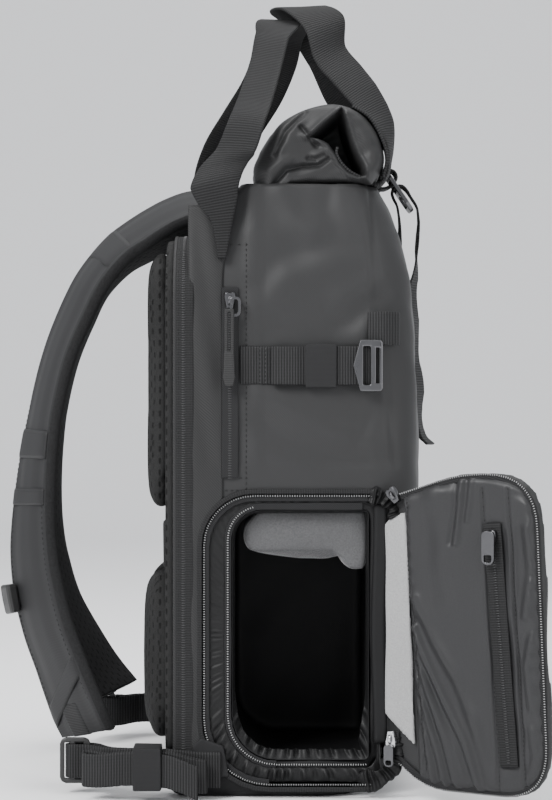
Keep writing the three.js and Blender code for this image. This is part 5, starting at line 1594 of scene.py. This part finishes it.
@dataclass
class ShoulderStraps:
    """The two padded straps with the bands sewn over them."""

    reach: float = 100.0
    spacing: float = 176.0
    width: float = 62.0
    thickness: float = 10.0
    slack: float = 11.0
    slack_turn: float = 10.0
    steps: int = 230

    ROWS = (
        # out, up, apart, turn, dip, wide, slack
        (-0.42, 0.972, 0.7, 3, -0.36, 0.94, 0),
        (-0.27, 0.975, 0.72, 5, -0.36, 0.95, 0),
        (-0.09, 0.975, 0.75, 8, -0.36, 0.97, 0.05),
        (0.05, 0.963, 0.77, 10, -0.34, 0.98, 0.2),
        (0.165, 0.947, 0.795, 12, -0.32, 1, 0.45),
        (0.285, 0.927, 0.82, 15, -0.29, 1, 0.7),
        (0.41, 0.904, 0.83, 16, -0.25, 1, 0.85),
        (0.58, 0.853, 0.85, 19, -0.17, 1, 1),
        (0.69, 0.8, 0.86, 20, -0.15, 1, 1),
        (0.82, 0.72, 0.875, 20, -0.09, 1, 1),
        (0.92, 0.618, 0.885, 21, -0.03, 1, 1),
        (0.98, 0.5, 0.91, 26, 0.03, 1, 1),
        (0.99, 0.4, 0.935, 30, 0.06, 1.03, 1),
        (0.955, 0.33, 0.98, 31, 0.13, 1.07, 1),
        (0.885, 0.262, 1.02, 30, 0.19, 1.1, 0.95),
        (0.8, 0.208, 1.07, 29, 0.22, 1.13, 0.8),
        (0.665, 0.127, 1.14, 31, 0.22, 1.14, 0.4),
        (0.6, 0.094, 1.165, 35, 0.2, 1, 0),
    )

    STITCH_ROWS = (
        # off the middle and over it in millimetres, first and last station
        (25.5, 4.6, 150, 214),
        (29.0, 3.6, 6, 222),
    )

    def path(self, hand: int) -> tuple[Array, Array, Array]:
        """The middle line of one strap, its direction across and its width shares."""
        rows = []
        for out, up, apart, turn, dip, wide, slack in self.ROWS:
            loose = slack if hand > 0 else 0
            a = math.radians(turn - loose * self.slack_turn)
            further = loose * self.slack
            across = np.array((math.sin(a), hand * math.cos(a), dip)) * (-1 if hand > 0 else 1)
            rows.append(
                (
                    -FRAME_BACK - out * self.reach - further,
                    hand * apart * self.spacing / 2,
                    up * BODY_HEIGHT + max(0.0, up - 0.6) * further,
                    wide,
                    *across,
                )
            )
        return strap_path(rows, self.steps)

    def section(self) -> Array:
        """The pad's section: a domed face with a raised channel, and a soft mesh edge."""
        half, t = self.width / 2, self.thickness / 2
        face = []
        for x in np.linspace(half - 1.5, -half + 1.5, 27):
            share = abs(x) / half
            dome = t * (1 - 0.32 * share**4)
            channel = 0.8 * (ramp(np.array(abs(x)), 19, 6))
            piping = 0.5 * math.exp(-(((abs(x) - half + 3.6) / 1.6) ** 2))
            groove = -0.2 * math.exp(-(((abs(x) - 19.5) / 3.0) ** 2))
            face.append((x, dome + float(channel) + piping + groove))
        bows, drops = np.linspace(1.2, -1.2, 8), np.linspace(math.pi * 0.36, -math.pi * 0.36, 8)
        side = [
            (half - 1.3 + 1.3 * math.cos(bow), t * 0.62 * math.sin(drop)) for bow, drop in zip(bows, drops)
        ]
        under = [(x, -t * (1 - 0.3 * (abs(x) / half) ** 4)) for x in np.linspace(-half + 1.5, half - 1.5, 19)]
        left = [(-x, y) for x, y in side]
        return np.array(face + left + under + side[::-1])

    def build(self) -> None:
        """Builds both straps and dresses their bands."""
        for hand, name in ((-1, "left"), (1, "right")):
            points, across, wide = self.path(hand)
            section = self.section()
            ribbon = Ribbon(points, across, self.width, self.thickness, wide, profile=section)
            piece = ribbon.mesh(f"shoulder_strap_{name}", self.quilting)
            for finish in (SHADED_STRAP_FACE, KNIT, STRAP_MESH):
                piece.data.materials.append(MATERIALS[finish.name])
            for index, face in enumerate(piece.data.polygons):
                place_in_ring = index % len(section)
                under = 35 <= place_in_ring < 52
                face.material_index = 0 if place_in_ring < 25 else 2 if under else 1
            place(piece, SHADED_STRAP_FACE, (f"shoulder_pad_{name}",))
            self.bands(name, points, across, wide)
            dress_solid(f"sternum_clip_{name}", PLASTIC, 2.2)
            self.stitches(name, points, across, wide)

    def dome(self, x: Array) -> Array:
        """Height of the pad's face above its middle, across the strap."""
        return self.thickness / 2 * (1 - 0.32 * (np.abs(x) / (self.width / 2)) ** 4)

    def patch(
        self, name: str, path: tuple[Array, Array, Array], share: float, long: float, slant: float = 0.0,
        lift: float = 0.9, edge: float = 3.0,
    ) -> tuple[bpy.types.Object, list[tuple[Array, Array]]]:
        """A piece of cloth laid to the pad's face.

        Args:
            name: The piece's name.
            path: The strap's points, directions across and width shares.
            share: Where its middle lies along the strap.
            long: Its length along the strap, in millimetres.
            slant: How far one edge lies ahead of the other, in millimetres.
            lift: How far it stands off the pad.
            edge: How far its sides stop short of the pad's.

        Returns:
            The piece, and lines along its two long edges with the direction across each.
        """
        points, across, wide = path
        run = length_along(points)
        out = unit(np.cross(unit(np.gradient(points, axis=0)), across))
        table = np.column_stack([points, across, out, wide])
        cols, rows = 25, 9
        xs = np.linspace(-1, 1, cols) * (self.width / 2 - edge)
        grid = []
        for off in np.linspace(-long / 2, long / 2, rows):
            at = np.interp(share * (len(run) - 1), range(len(run)), run) + off + slant * xs / self.width
            here = np.stack([np.interp(at, run, table[:, k]) for k in range(10)], axis=1)
            stand = self.dome(xs) + lift - 0.9 * (np.abs(xs) / xs[-1]) ** 14
            stand = stand - 0.45 * (abs(off) > long / 2 - 0.1)
            sideways = here[:, 3:6] * (xs * here[:, 9])[:, None]
            grid.append(here[:, :3] + sideways + here[:, 6:9] * stand[:, None])
        piece = make_mesh(name, np.vstack(grid), grid_faces(rows, cols, False))
        thicken(piece, 1.1, 0.0)
        outward(piece)
        seams = []
        for row in (1, rows - 2):
            line = resample(grid[row], 1.5)
            along = unit(np.gradient(line, axis=0))
            face = np.broadcast_to(unit(table[int(share * (len(points) - 1)), 6:9]), line.shape)
            seams.append((line + face * 0.5, np.cross(along, face)))
        return piece, seams

    def bands(self, name: str, points: Array, across: Array, wide: Array) -> None:
        """The cloth bands sewn over the pad's face, laid to its dome."""
        path = (points, across, wide)
        seams = []
        for band, share, long, slant in (
            ("strap_bar", 0.365, 22.0, 0.0),
            ("strap_label_band", 0.612, 19.0, 0.0),
            ("strap_low_band", 0.657, 11.0, 0.0),
            ("strap_toe_band", 0.915, 14.0, -34.0),
        ):
            piece, edges = self.patch(f"{band}_{name}_cloth", path, share, long, slant)
            place(piece, SHADED_STRAP_FACE, (f"{band}_{name}",))
            seams += edges
        tongue, edges = self.patch(f"strap_tongue_{name}", path, 0.966, 30.0, 0.0, 0.5, 20.0)
        place(tongue, WEBBING_FREE)
        beads(f"band_stitches_{name}", seams + edges, THREAD, 2.8, (1.9, 0.6, 0.4))

    def quilting(self, run: Array, ring: Array) -> Array:
        """Bends and presses the pad a little along its length."""
        bow = 0.7 * math.sin(run[0] / 61) + 0.35 * math.sin(run[0] / 23 + 1)
        pinch = 1 - 0.05 * math.cos(run[0] / 37)
        return np.stack([ring[:, 0], ring[:, 1] * pinch + 0.5 * bow * (ring[:, 0] / 31) ** 2], axis=1)

    def stitches(self, name: str, points: Array, across: Array, wide: Array) -> None:
        """Rows of stitches along the strap's two edges and its channel."""
        out = unit(np.cross(unit(np.gradient(points, axis=0)), across))
        runs = []
        for off, lift, start, end in self.STITCH_ROWS:
            for hand in (-1, 1):
                line = points + across * (hand * off * wide)[:, None] + out * lift
                runs.append((line[start:end], across[start:end]))
        beads(f"strap_stitches_{name}", runs, THREAD, 3.4, (2.4, 0.6, 0.5))


@dataclass
class LowerStraps:
    """The webbing at the straps' toes with its tabs, keepers and buckles."""

    def build(self) -> None:
        """Dresses the webs."""
        for name in ("left", "right"):
            web = soft_web(f"lower_web_{name}", WEBBING, 0, 2, 0.9)
            sculpt(web, self.droop)
            soft_web(f"lower_tab_{name}", BINDING, 0, 2, 0.8)
            soft_web(f"web_keeper_{name}", BINDING, 2, 0, 0.7)
            dress_solid(f"buckle_{name}", PLASTIC, 0.8)

    def droop(self, points: Array, normals: Array) -> Array:
        """Lets the spare webbing hang and wave beyond its keeper."""
        x, y = points[:, 0], np.abs(points[:, 1])
        outer = ramp(y, 141, 147)
        fall = 5.0 * ramp(x, -82, -54) + 2.0 * ramp(-x, 101, 128)
        bow = 1.1 * np.sin((x + 92) / 7.5) * ramp(np.abs(x + 92), 10, 16)
        side = np.sign(points[:, 1])
        return points + np.stack([0 * x, side * bow * outer, -fall * outer], axis=1)


def polar(outline: Array, centre: Sequence[float], count: int) -> Array:
    """The outline's points at even angles round a centre."""
    dense = resample(outline, 0.5, True) - centre
    angle = np.arctan2(dense[:, 1], dense[:, 0])
    order = np.argsort(angle)
    angles = np.linspace(-math.pi, math.pi, count, endpoint=False)
    radius = np.interp(angles, angle[order], np.linalg.norm(dense, axis=1)[order], period=2 * math.pi)
    return np.stack([radius * np.cos(angles), radius * np.sin(angles)], axis=1) + centre


def open_front(outline: Array, high: float, low: float) -> Array:
    """The part of a closed outline round its back.

    Args:
        outline: The outline, in x and z.
        high: Where it starts along the top, in x.
        low: Where it ends along the bottom, in x.

    Returns:
        Its points from the top round the back to the bottom.
    """
    dense = resample(outline, 1.0, True)
    middle = dense[:, 1].mean()
    start = np.argmax(dense[:, 0] - 0.01 * np.abs(dense[:, 1] - middle))
    dense = np.roll(dense, -start, axis=0)
    limit = np.where(dense[:, 1] > middle, high, low)
    return dense[dense[:, 0] < limit]


@dataclass
class CameraBay:
    """The padded cube, its zips, the gathered lining and the divider."""

    centre: tuple[float, float] = (4.0, 104.0)
    columns: int = 560
    rows: int = 12

    def build(self) -> None:
        """Builds the bay's pieces."""
        cube = soft_solid("camera_cube", "camera_cube_cloth", 2.4, 4, (0.5, 36, 41))
        place(cube, TUB, ("camera_cube",))
        for node in ("bay_zip", "cube_zip"):
            soft_web(node, TAPE, 2, 0, 0.8, 0.1)
        for name, outline, y, high, low in (
            ("bay_coil", inset(BAY_CUT, 1.6), -HALF_WIDTH - 0.1, 60, 60),
            ("cube_coil", inset(CUBE_SIDE, 6.5), MOUTH - 2.4, -24, 50),
        ):
            points, across = plane_path(open_front(outline, high, low), y)
            coil(name, points, across)
        points, across = plane_path(open_front(inset(BAY_CUT, -1.3), 60, 60), -HALF_WIDTH - 1.0)
        tape = Ribbon(points, across, 3.2, 1.6)
        place(tape.mesh("bay_outer_tape"), TAPE_RIBBED)
        self.front_rim()
        self.gathers()
        self.lining()
        self.ruffle()
        pad = solid_copy("divider_pad", "divider_padded")
        inflate(pad, 4.0, 5.0)
        place(pad, PLUSH, ("divider_pad",))

    def front_rim(self) -> None:
        """The padded binding down the bay's front edge."""
        heights = np.linspace(36, 192, 50)
        line = np.column_stack([58.2 + 0.8 * np.sin(heights / 23), np.full(50, -138.6), heights])
        rim = Ribbon(line, np.broadcast_to((1.0, 0.0, 0.0), line.shape), 9.5, 4.6, None, 0.48)
        place(rim.mesh("bay_front_rim"), TUB)

    def gathers(self) -> None:
        """The crumpled cloth that joins the door to the pack at both ends of the hinge."""
        low = ((46, -139, 10.5), (57, -142.5, 13), (66, -144, 20), (70, -144.5, 30), (69, -143, 41))
        high = ((52, -140, 197), (60, -142, 195), (66, -143.5, 190), (69, -144, 183))
        for name, keys, width, turns in (("low", low, 15.0, 9), ("high", high, 12.0, 6)):
            line = spline(keys, 90)
            across = np.cross(unit(np.gradient(line, axis=0)), (0.15, -1.0, 0.0))
            share = np.linspace(0, 1, len(line))
            wide = 0.75 + 0.3 * np.sin(share * 11) * np.sin(share * 5 + 1)
            ribbon = Ribbon(line, across, width, 2.2, wide, 0.45)

            def crumple(run: Array, ring: Array, turns: int = turns, width: float = width) -> Array:
                """Folds the strip across its length."""
                t = run[0] / run[1]
                fold = 1.6 * math.sin(t * turns * 6.28) + 1.1 * math.sin(t * turns * 9.1 + 2)
                lean = 1.4 * np.sin(ring[:, 0] / width * 9 + 5 * t)
                return ring + np.stack([np.zeros(len(ring)), fold * 0.6 + lean * 0.7], axis=1)

            place(ribbon.mesh(f"hinge_gathers_{name}", crumple), DARK_LINING)

    def lining(self) -> None:
        """The gathered nylon between the two zips."""
        outer = polar(inset(BAY_CUT, 3.2), self.centre, self.columns)
        inner = polar(inset(CUBE_SIDE, 4.5), self.centre, self.columns)
        angles = np.linspace(0, 2 * math.pi, self.columns, endpoint=False)
        low = ramp(-(outer[:, 1] - 60), 0, 45)
        rows = []
        for share in np.linspace(0, 1, self.rows):
            flat = outer + (inner - outer) * share
            fold = np.sin(angles * 71 + 2.6 * np.sin(angles * 13)) + 0.6 * np.sin(angles * 118 + 1)
            belly = math.sin(math.pi * share)
            y = MOUTH - 0.6 + belly * ((0.35 + 1.0 * low) * fold - 1.4 * low) - share * 0.6
            rows.append(np.column_stack([flat[:, 0], np.maximum(y, -142.5), flat[:, 1]]))
        self.ring("bay_gathers", rows, ("bay_lining",))

    def ruffle(self) -> None:
        """The gathered cloth that hangs inside the cube's zip."""
        outer = polar(inset(CUBE_SIDE, 9.0), self.centre, self.columns)
        inner = polar(inset(CUBE_SIDE, 13.5), self.centre, self.columns)
        angles = np.linspace(0, 2 * math.pi, self.columns, endpoint=False)
        low = ramp(-(outer[:, 1] - 75), 0, 55)
        rows = []
        for share in np.linspace(0, 1, self.rows):
            reach = share * (0.35 + 1.1 * low)
            flat = outer + (inner - outer) * reach[:, None]
            fold = np.sin(angles * 63 + 3.1 * np.sin(angles * 9)) + 0.5 * np.sin(angles * 104 + 2)
            y = MOUTH + 0.8 + share * (5.0 + 1.9 * fold * (0.25 + low))
            rows.append(np.column_stack([flat[:, 0], y, flat[:, 1]]))
        self.ring("cube_gathers", rows)

    def ring(self, name: str, rows: list[Array], replaces: Sequence[str] = ()) -> None:
        """Makes a ring of thin cloth from its rows of points."""
        piece = make_mesh(name, np.vstack(rows), grid_faces(self.rows, self.columns, True))
        outward(thicken(piece, 0.5))
        place(piece, DARK_LINING, replaces)


@dataclass
class CameraDoor:
    """The open door: wrinkled lining, zip, pocket and plush hinge."""

    hinge: tuple[float, float] = (63.0, -139.1)
    opened: float = 147.0
    low: float = 7.5
    high: float = 214.0

    def world(self, points: Array) -> Array:
        """Turns places on the shut door into their open places."""
        a = math.radians(self.opened)
        x = self.hinge[0] + points[:, 0] * math.cos(a) - points[:, 1] * math.sin(a)
        y = self.hinge[1] + points[:, 0] * math.sin(a) + points[:, 1] * math.cos(a)
        return np.column_stack([x, y, points[:, 2]])

    def local(self, points: Array) -> Array:
        """Turns open places back to places on the shut door."""
        a = math.radians(-self.opened)
        dx, dy = points[:, 0] - self.hinge[0], points[:, 1] - self.hinge[1]
        return np.column_stack(
            [dx * math.cos(a) - dy * math.sin(a), dx * math.sin(a) + dy * math.cos(a), points[:, 2]]
        )

    def rim(self) -> Array:
        """The panel's outline as x and z on the shut door."""
        piece = solid_copy("door_panel", "rim_probe")
        points, _ = read_points(piece)
        bpy.data.objects.remove(piece)
        flat = self.local(points)
        flat = flat[np.abs(flat[:, 1]) < 0.2][:, [0, 2]]
        centre = flat.mean(axis=0)
        order = np.argsort(np.arctan2(flat[:, 1] - centre[1], flat[:, 0] - centre[0]))
        return flat[order]

    FOLDS = (
        # lines in u and v on the door, with each fold's height and width
        (((22, 112), (32, 90), (46, 64), (60, 40), (70, 12)), 2.4, 3.4),
        (((24, 96), (33, 70), (45, 42), (54, 12)), 2.0, 3.0),
        (((25, 78), (33, 52), (41, 30), (45, 10)), 1.7, 2.6),
        (((27, 58), (32, 40), (36, 12)), 1.4, 2.4),
        (((24, 130), (38, 104), (54, 80), (68, 50), (78, 16)), 1.5, 5.0),
        (((57, 214), (56, 190), (53, 168)), 1.8, 2.8),
        (((64, 214), (63, 196), (61, 182)), 1.3, 2.4),
        (((36, 200), (42, 170), (46, 130)), 0.9, 7.0),
        (((104, 178), (107, 150), (103, 124)), 1.5, 4.5),
        (((108, 112), (103, 92), (107, 66)), 1.4, 4.0),
        (((106, 52), (110, 36), (106, 20)), 1.2, 4.0),
    )
    SEAMS = (
        ((71.0, 203.0), (84.0, 13.0)),
        ((89.5, 203.0), (102.0, 13.0)),
        ((16.5, 198.0), (18.0, 150.0), (22.5, 100.0), (27.0, 60.0), (31.5, 22.0)),
    )

    def lining_height(self, plane: Array, edge: Array) -> Array:
        """Height of the lining over the panel.

        Args:
            plane: Places as u, out from the hinge, and v, up.
            edge: Distance in from the lining's edge.

        Returns:
            The height of each place.
        """
        u, v = plane.T
        height = 0.6 + 3.2 * (1 - np.exp(-np.maximum(edge, 0) / 2.6))
        height += 0.5 * waves(plane, 62, 51) + 0.2 * waves(plane, 24, 52)
        between = ramp(u, 66, 74) * (1 - ramp(u, 96, 104))
        for line, high, wide in self.FOLDS:
            height += 1.15 * high * ridge(plane, line, 0.85 * wide)
            height -= 0.6 * high * ridge(plane + (wide * 1.5, 0), line, wide * 0.7)
        # Puckers where the lining is sewn along its edge and its hem.
        pucker = np.sin(v / 1.9 + 1.3 * np.sin(v / 7.7) + u / 15)
        height += 0.7 * pucker * np.exp(-((edge / 5.5) ** 2)) * (u > 40)
        height += 0.45 * np.sin((v - 0.6 * u) / 1.7) * ridge(plane, self.SEAMS[2], 3.2)
        height -= 0.55 * between
        for line in self.SEAMS[:2]:
            height -= 1.2 * ridge(plane, line, 1.0)
            for off in (-1.9, 1.9):
                height += 0.5 * ridge(plane + (off, 0), line, 1.2)
        height -= 0.7 * ridge(plane, self.SEAMS[2], 1.0)
        # The placket over the pocket's zip.
        slot = ridge(plane, ((79.0, 178.0), (91.0, 31.0)), 6.2)
        height -= 1.5 * slot
        return np.clip(height, 0.4, 5.6)

    def lining(self) -> None:
        """The wrinkled nylon inside the door."""
        rim = inset(self.rim(), 3.4)
        dense = resample(rim, 1.0, True)
        bound = -12.0 - (self.high - dense[:, 1]) / (self.high - self.low) * 14.0
        dense[:, 0] = np.minimum(dense[:, 0], bound)
        centre = np.array((-66.0, 110.0))
        columns, rows = 420, 90
        edge = polar(dense, centre, columns)
        rings = []
        for share in np.linspace(0.006, 1, rows):
            flat = centre + (edge - centre) * share
            gap = np.linalg.norm(edge - centre, axis=1) * (1 - share)
            plane = np.column_stack([-flat[:, 0], flat[:, 1]])
            height = self.lining_height(plane, gap)
            rings.append(self.world(np.column_stack([flat[:, 0], height, flat[:, 1]])))
        under = self.world(np.column_stack([edge[:, 0], np.full(columns, 0.35), edge[:, 1]]))
        point = centre + (edge - centre) * 0.006
        back = self.world(np.column_stack([point[:, 0], np.full(columns, 0.35), point[:, 1]]))
        rings += [under, back]
        faces: list[Sequence[int]] = list(grid_faces(len(rings), columns, True))
        last = (len(rings) - 1) * columns
        faces += [tuple(range(columns - 1, -1, -1)), tuple(range(last, last + columns))]
        piece = make_mesh("door_lining_cloth", np.vstack(rings), faces)
        place(piece, LINING, ("door_lining",))
        runs = []
        for line in self.SEAMS:
            keys = resample(np.array([(-u, v) for u, v in line]), 2.0)
            plane = np.column_stack([-keys[:, 0], keys[:, 1]])
            height = self.lining_height(plane, np.full(len(plane), 20.0)) + 0.35
            runs.append(self.open_run(np.column_stack([keys[:, 0], height, keys[:, 1]])))
        beads("door_stitches", runs, THREAD, 2.9, (2.0, 0.6, 0.5))

    def build(self) -> None:
        """Builds the door's pieces."""
        panel = soft_solid("door_panel", "door_panel_cloth", 2.2, 5, (0.45, 50, 61))
        place(panel, COATED, ("door_panel",))
        self.lining()
        plush = soft_solid("hinge_plush", "hinge_plush_cloth", 1.2, 2, (0.5, 40, 71))
        place(plush, PALE_PLUSH, ("hinge_plush",))
        soft_web("door_zip", TAPE, 2, 0, 0.8, 0.1)
        rim = inset(self.rim(), 1.6)
        dense = resample(rim, 1.0, True)
        start = np.argmax(dense[:, 0])
        dense = np.roll(dense, -start, axis=0)
        track = dense[dense[:, 0] < -9]
        raised = np.column_stack([track[:, 0], np.full(len(track), 2.3), track[:, 1]])
        self.run_coil("door_coil", raised, COIL)
        self.run_coil("door_pocket_coil", self.pocket_line(4.6, 0.08, 1.0, 90), DARK_COIL, True)
        for node in ("door_pocket_tab", "door_low_tab"):
            dress_solid(node, GUNMETAL, 0.5)
        for node, finish, at, up in (
            ("door_pocket_slider", GUNMETAL, (-79.5, 8.1, 171.5), (0.08, 0.0, 1.0)),
            ("door_slider_low", SILVER, (-5.5, 5.5, 39.0), (0.0, 0.0, -1.0)),
            ("door_slider_high", GUNMETAL, (-7.0, 5.5, 197.0), (0.6, 0.0, 0.8)),
        ):
            centre = self.world(np.array([at]))[0]
            ends = self.world(np.array([at, np.array(at) + up, np.array(at) + (0.0, 1.0, 0.0)]))
            zip_slider(f"{node}_cast", node, finish, centre, ends[1] - ends[0], ends[2] - ends[0])
        points, across = self.open_run(self.pocket_line(3.9, -0.02, 1.02, 60))
        tape = Ribbon(points, -across, 12.5, 1.1)
        place(tape.mesh("door_pocket_tape"), TAPE_RIBBED, ("door_pocket_zip",))

    def pocket_line(self, height: float, start: float, end: float, count: int) -> Array:
        """The pocket's zip on the shut door, between two shares of its length."""
        return np.array([(-79.0 - 12 * t, height, 178 - 147 * t) for t in np.linspace(start, end, count)])

    def open_run(self, line: Array) -> tuple[Array, Array]:
        """A line on the shut door with its direction across, both opened."""
        along = unit(np.gradient(line, axis=0))
        across = np.cross(along, (0.0, 1.0, 0.0))
        ends = self.world(line + across) - self.world(line)
        return self.world(line), ends

    def run_coil(self, name: str, line: Array, finish: Hard, closed: bool = False) -> None:
        """A coil along a line on the shut door."""
        points, across = self.open_run(line)
        coil(name, points, across, finish, closed)


@dataclass
class Studio:
    """A pale floor, soft light and the picture's camera."""

    eye: tuple[float, float, float] = (-0.0091, -1.640, 0.2587)
    lens: float = 103.85

    def floor(self) -> None:
        """A pale floor that turns up behind the pack."""
        profile = [(-5000.0, 0.0)]
        for turn in np.linspace(0, math.pi / 2, 12):
            profile.append((2600 + 1200 * math.sin(turn), 1200 - 1200 * math.cos(turn)))
        profile += [(3800.0, 4000.0)]
        points = [(x, y, z - 0.2) for x in (-5000.0, 5000.0) for y, z in profile]
        piece = make_mesh("floor", np.array(points), grid_faces(2, len(profile), False))
        work = bmesh.new()
        work.from_mesh(piece.data)
        if sum(face.normal.z for face in work.faces) < 0:
            bmesh.ops.reverse_faces(work, faces=work.faces)
        work.to_mesh(piece.data)
        work.free()
        material = bpy.data.materials.new("pale studio paper")
        material.use_nodes = True
        shader = material.node_tree.nodes["Principled BSDF"]
        shader.inputs["Base Color"].default_value = hex_linear("f4f4f5")
        shader.inputs["Roughness"].default_value = 0.9
        piece.data.materials.append(material)

    def lamp(self, name: str, at: Sequence[float], size: float, power: float) -> None:
        """One soft square lamp that faces the pack."""
        data = bpy.data.lights.new(name, "AREA")
        data.size = size
        data.energy = power
        lamp = bpy.data.objects.new(name, data)
        bpy.context.scene.collection.objects.link(lamp)
        lamp.location = at
        aim = np.array((0.0, 0.0, 0.22)) - np.array(at)
        turn = math.atan2(aim[1], aim[0])
        tilt = math.atan2(math.hypot(aim[0], aim[1]), -aim[2])
        lamp.rotation_euler = (tilt, 0, turn - math.pi / 2)

    def camera(self) -> None:
        """The camera at the picture's angle."""
        data = bpy.data.cameras.new("camera")
        data.lens = self.lens
        data.sensor_width = 36
        data.sensor_fit = "AUTO"
        data.clip_end = 20
        view = bpy.data.objects.new("camera", data)
        view.location = self.eye
        view.rotation_euler = (math.pi / 2, 0, 0)
        bpy.context.scene.collection.objects.link(view)
        bpy.context.scene.camera = view

    def build(self) -> None:
        """Sets up the studio."""
        self.floor()
        self.lamp("key lamp", (-1.1, -1.3, 1.5), 0.9, 58)
        self.lamp("fill lamp", (1.6, -1.5, 0.8), 1.4, 16)
        self.lamp("top lamp", (0.1, 0.1, 1.9), 1.2, 26)
        world = bpy.data.worlds.new("soft room")
        world.use_nodes = True
        back = world.node_tree.nodes["Background"]
        back.inputs["Color"].default_value = hex_linear("f2f4f7")
        back.inputs["Strength"].default_value = 0.95
        bpy.context.scene.world = world
        self.camera()


def main() -> None:
    """Dresses the whole pack and sets up the studio."""
    logging.basicConfig(level=logging.INFO, format="%(name)s: %(message)s")
    body = BodyShell()
    body.build()
    body.stitches()
    BaseTub().build()
    BackAssembly().build()
    RollTop().build()
    CarryHandles().build()
    FrontClosure().build()
    SideStrap().build()
    SidePocket().build()
    ShoulderStraps().build()
    LowerStraps().build()
    CameraBay().build()
    CameraDoor().build()
    Studio().build()


if __name__ == "__main__":
    main()
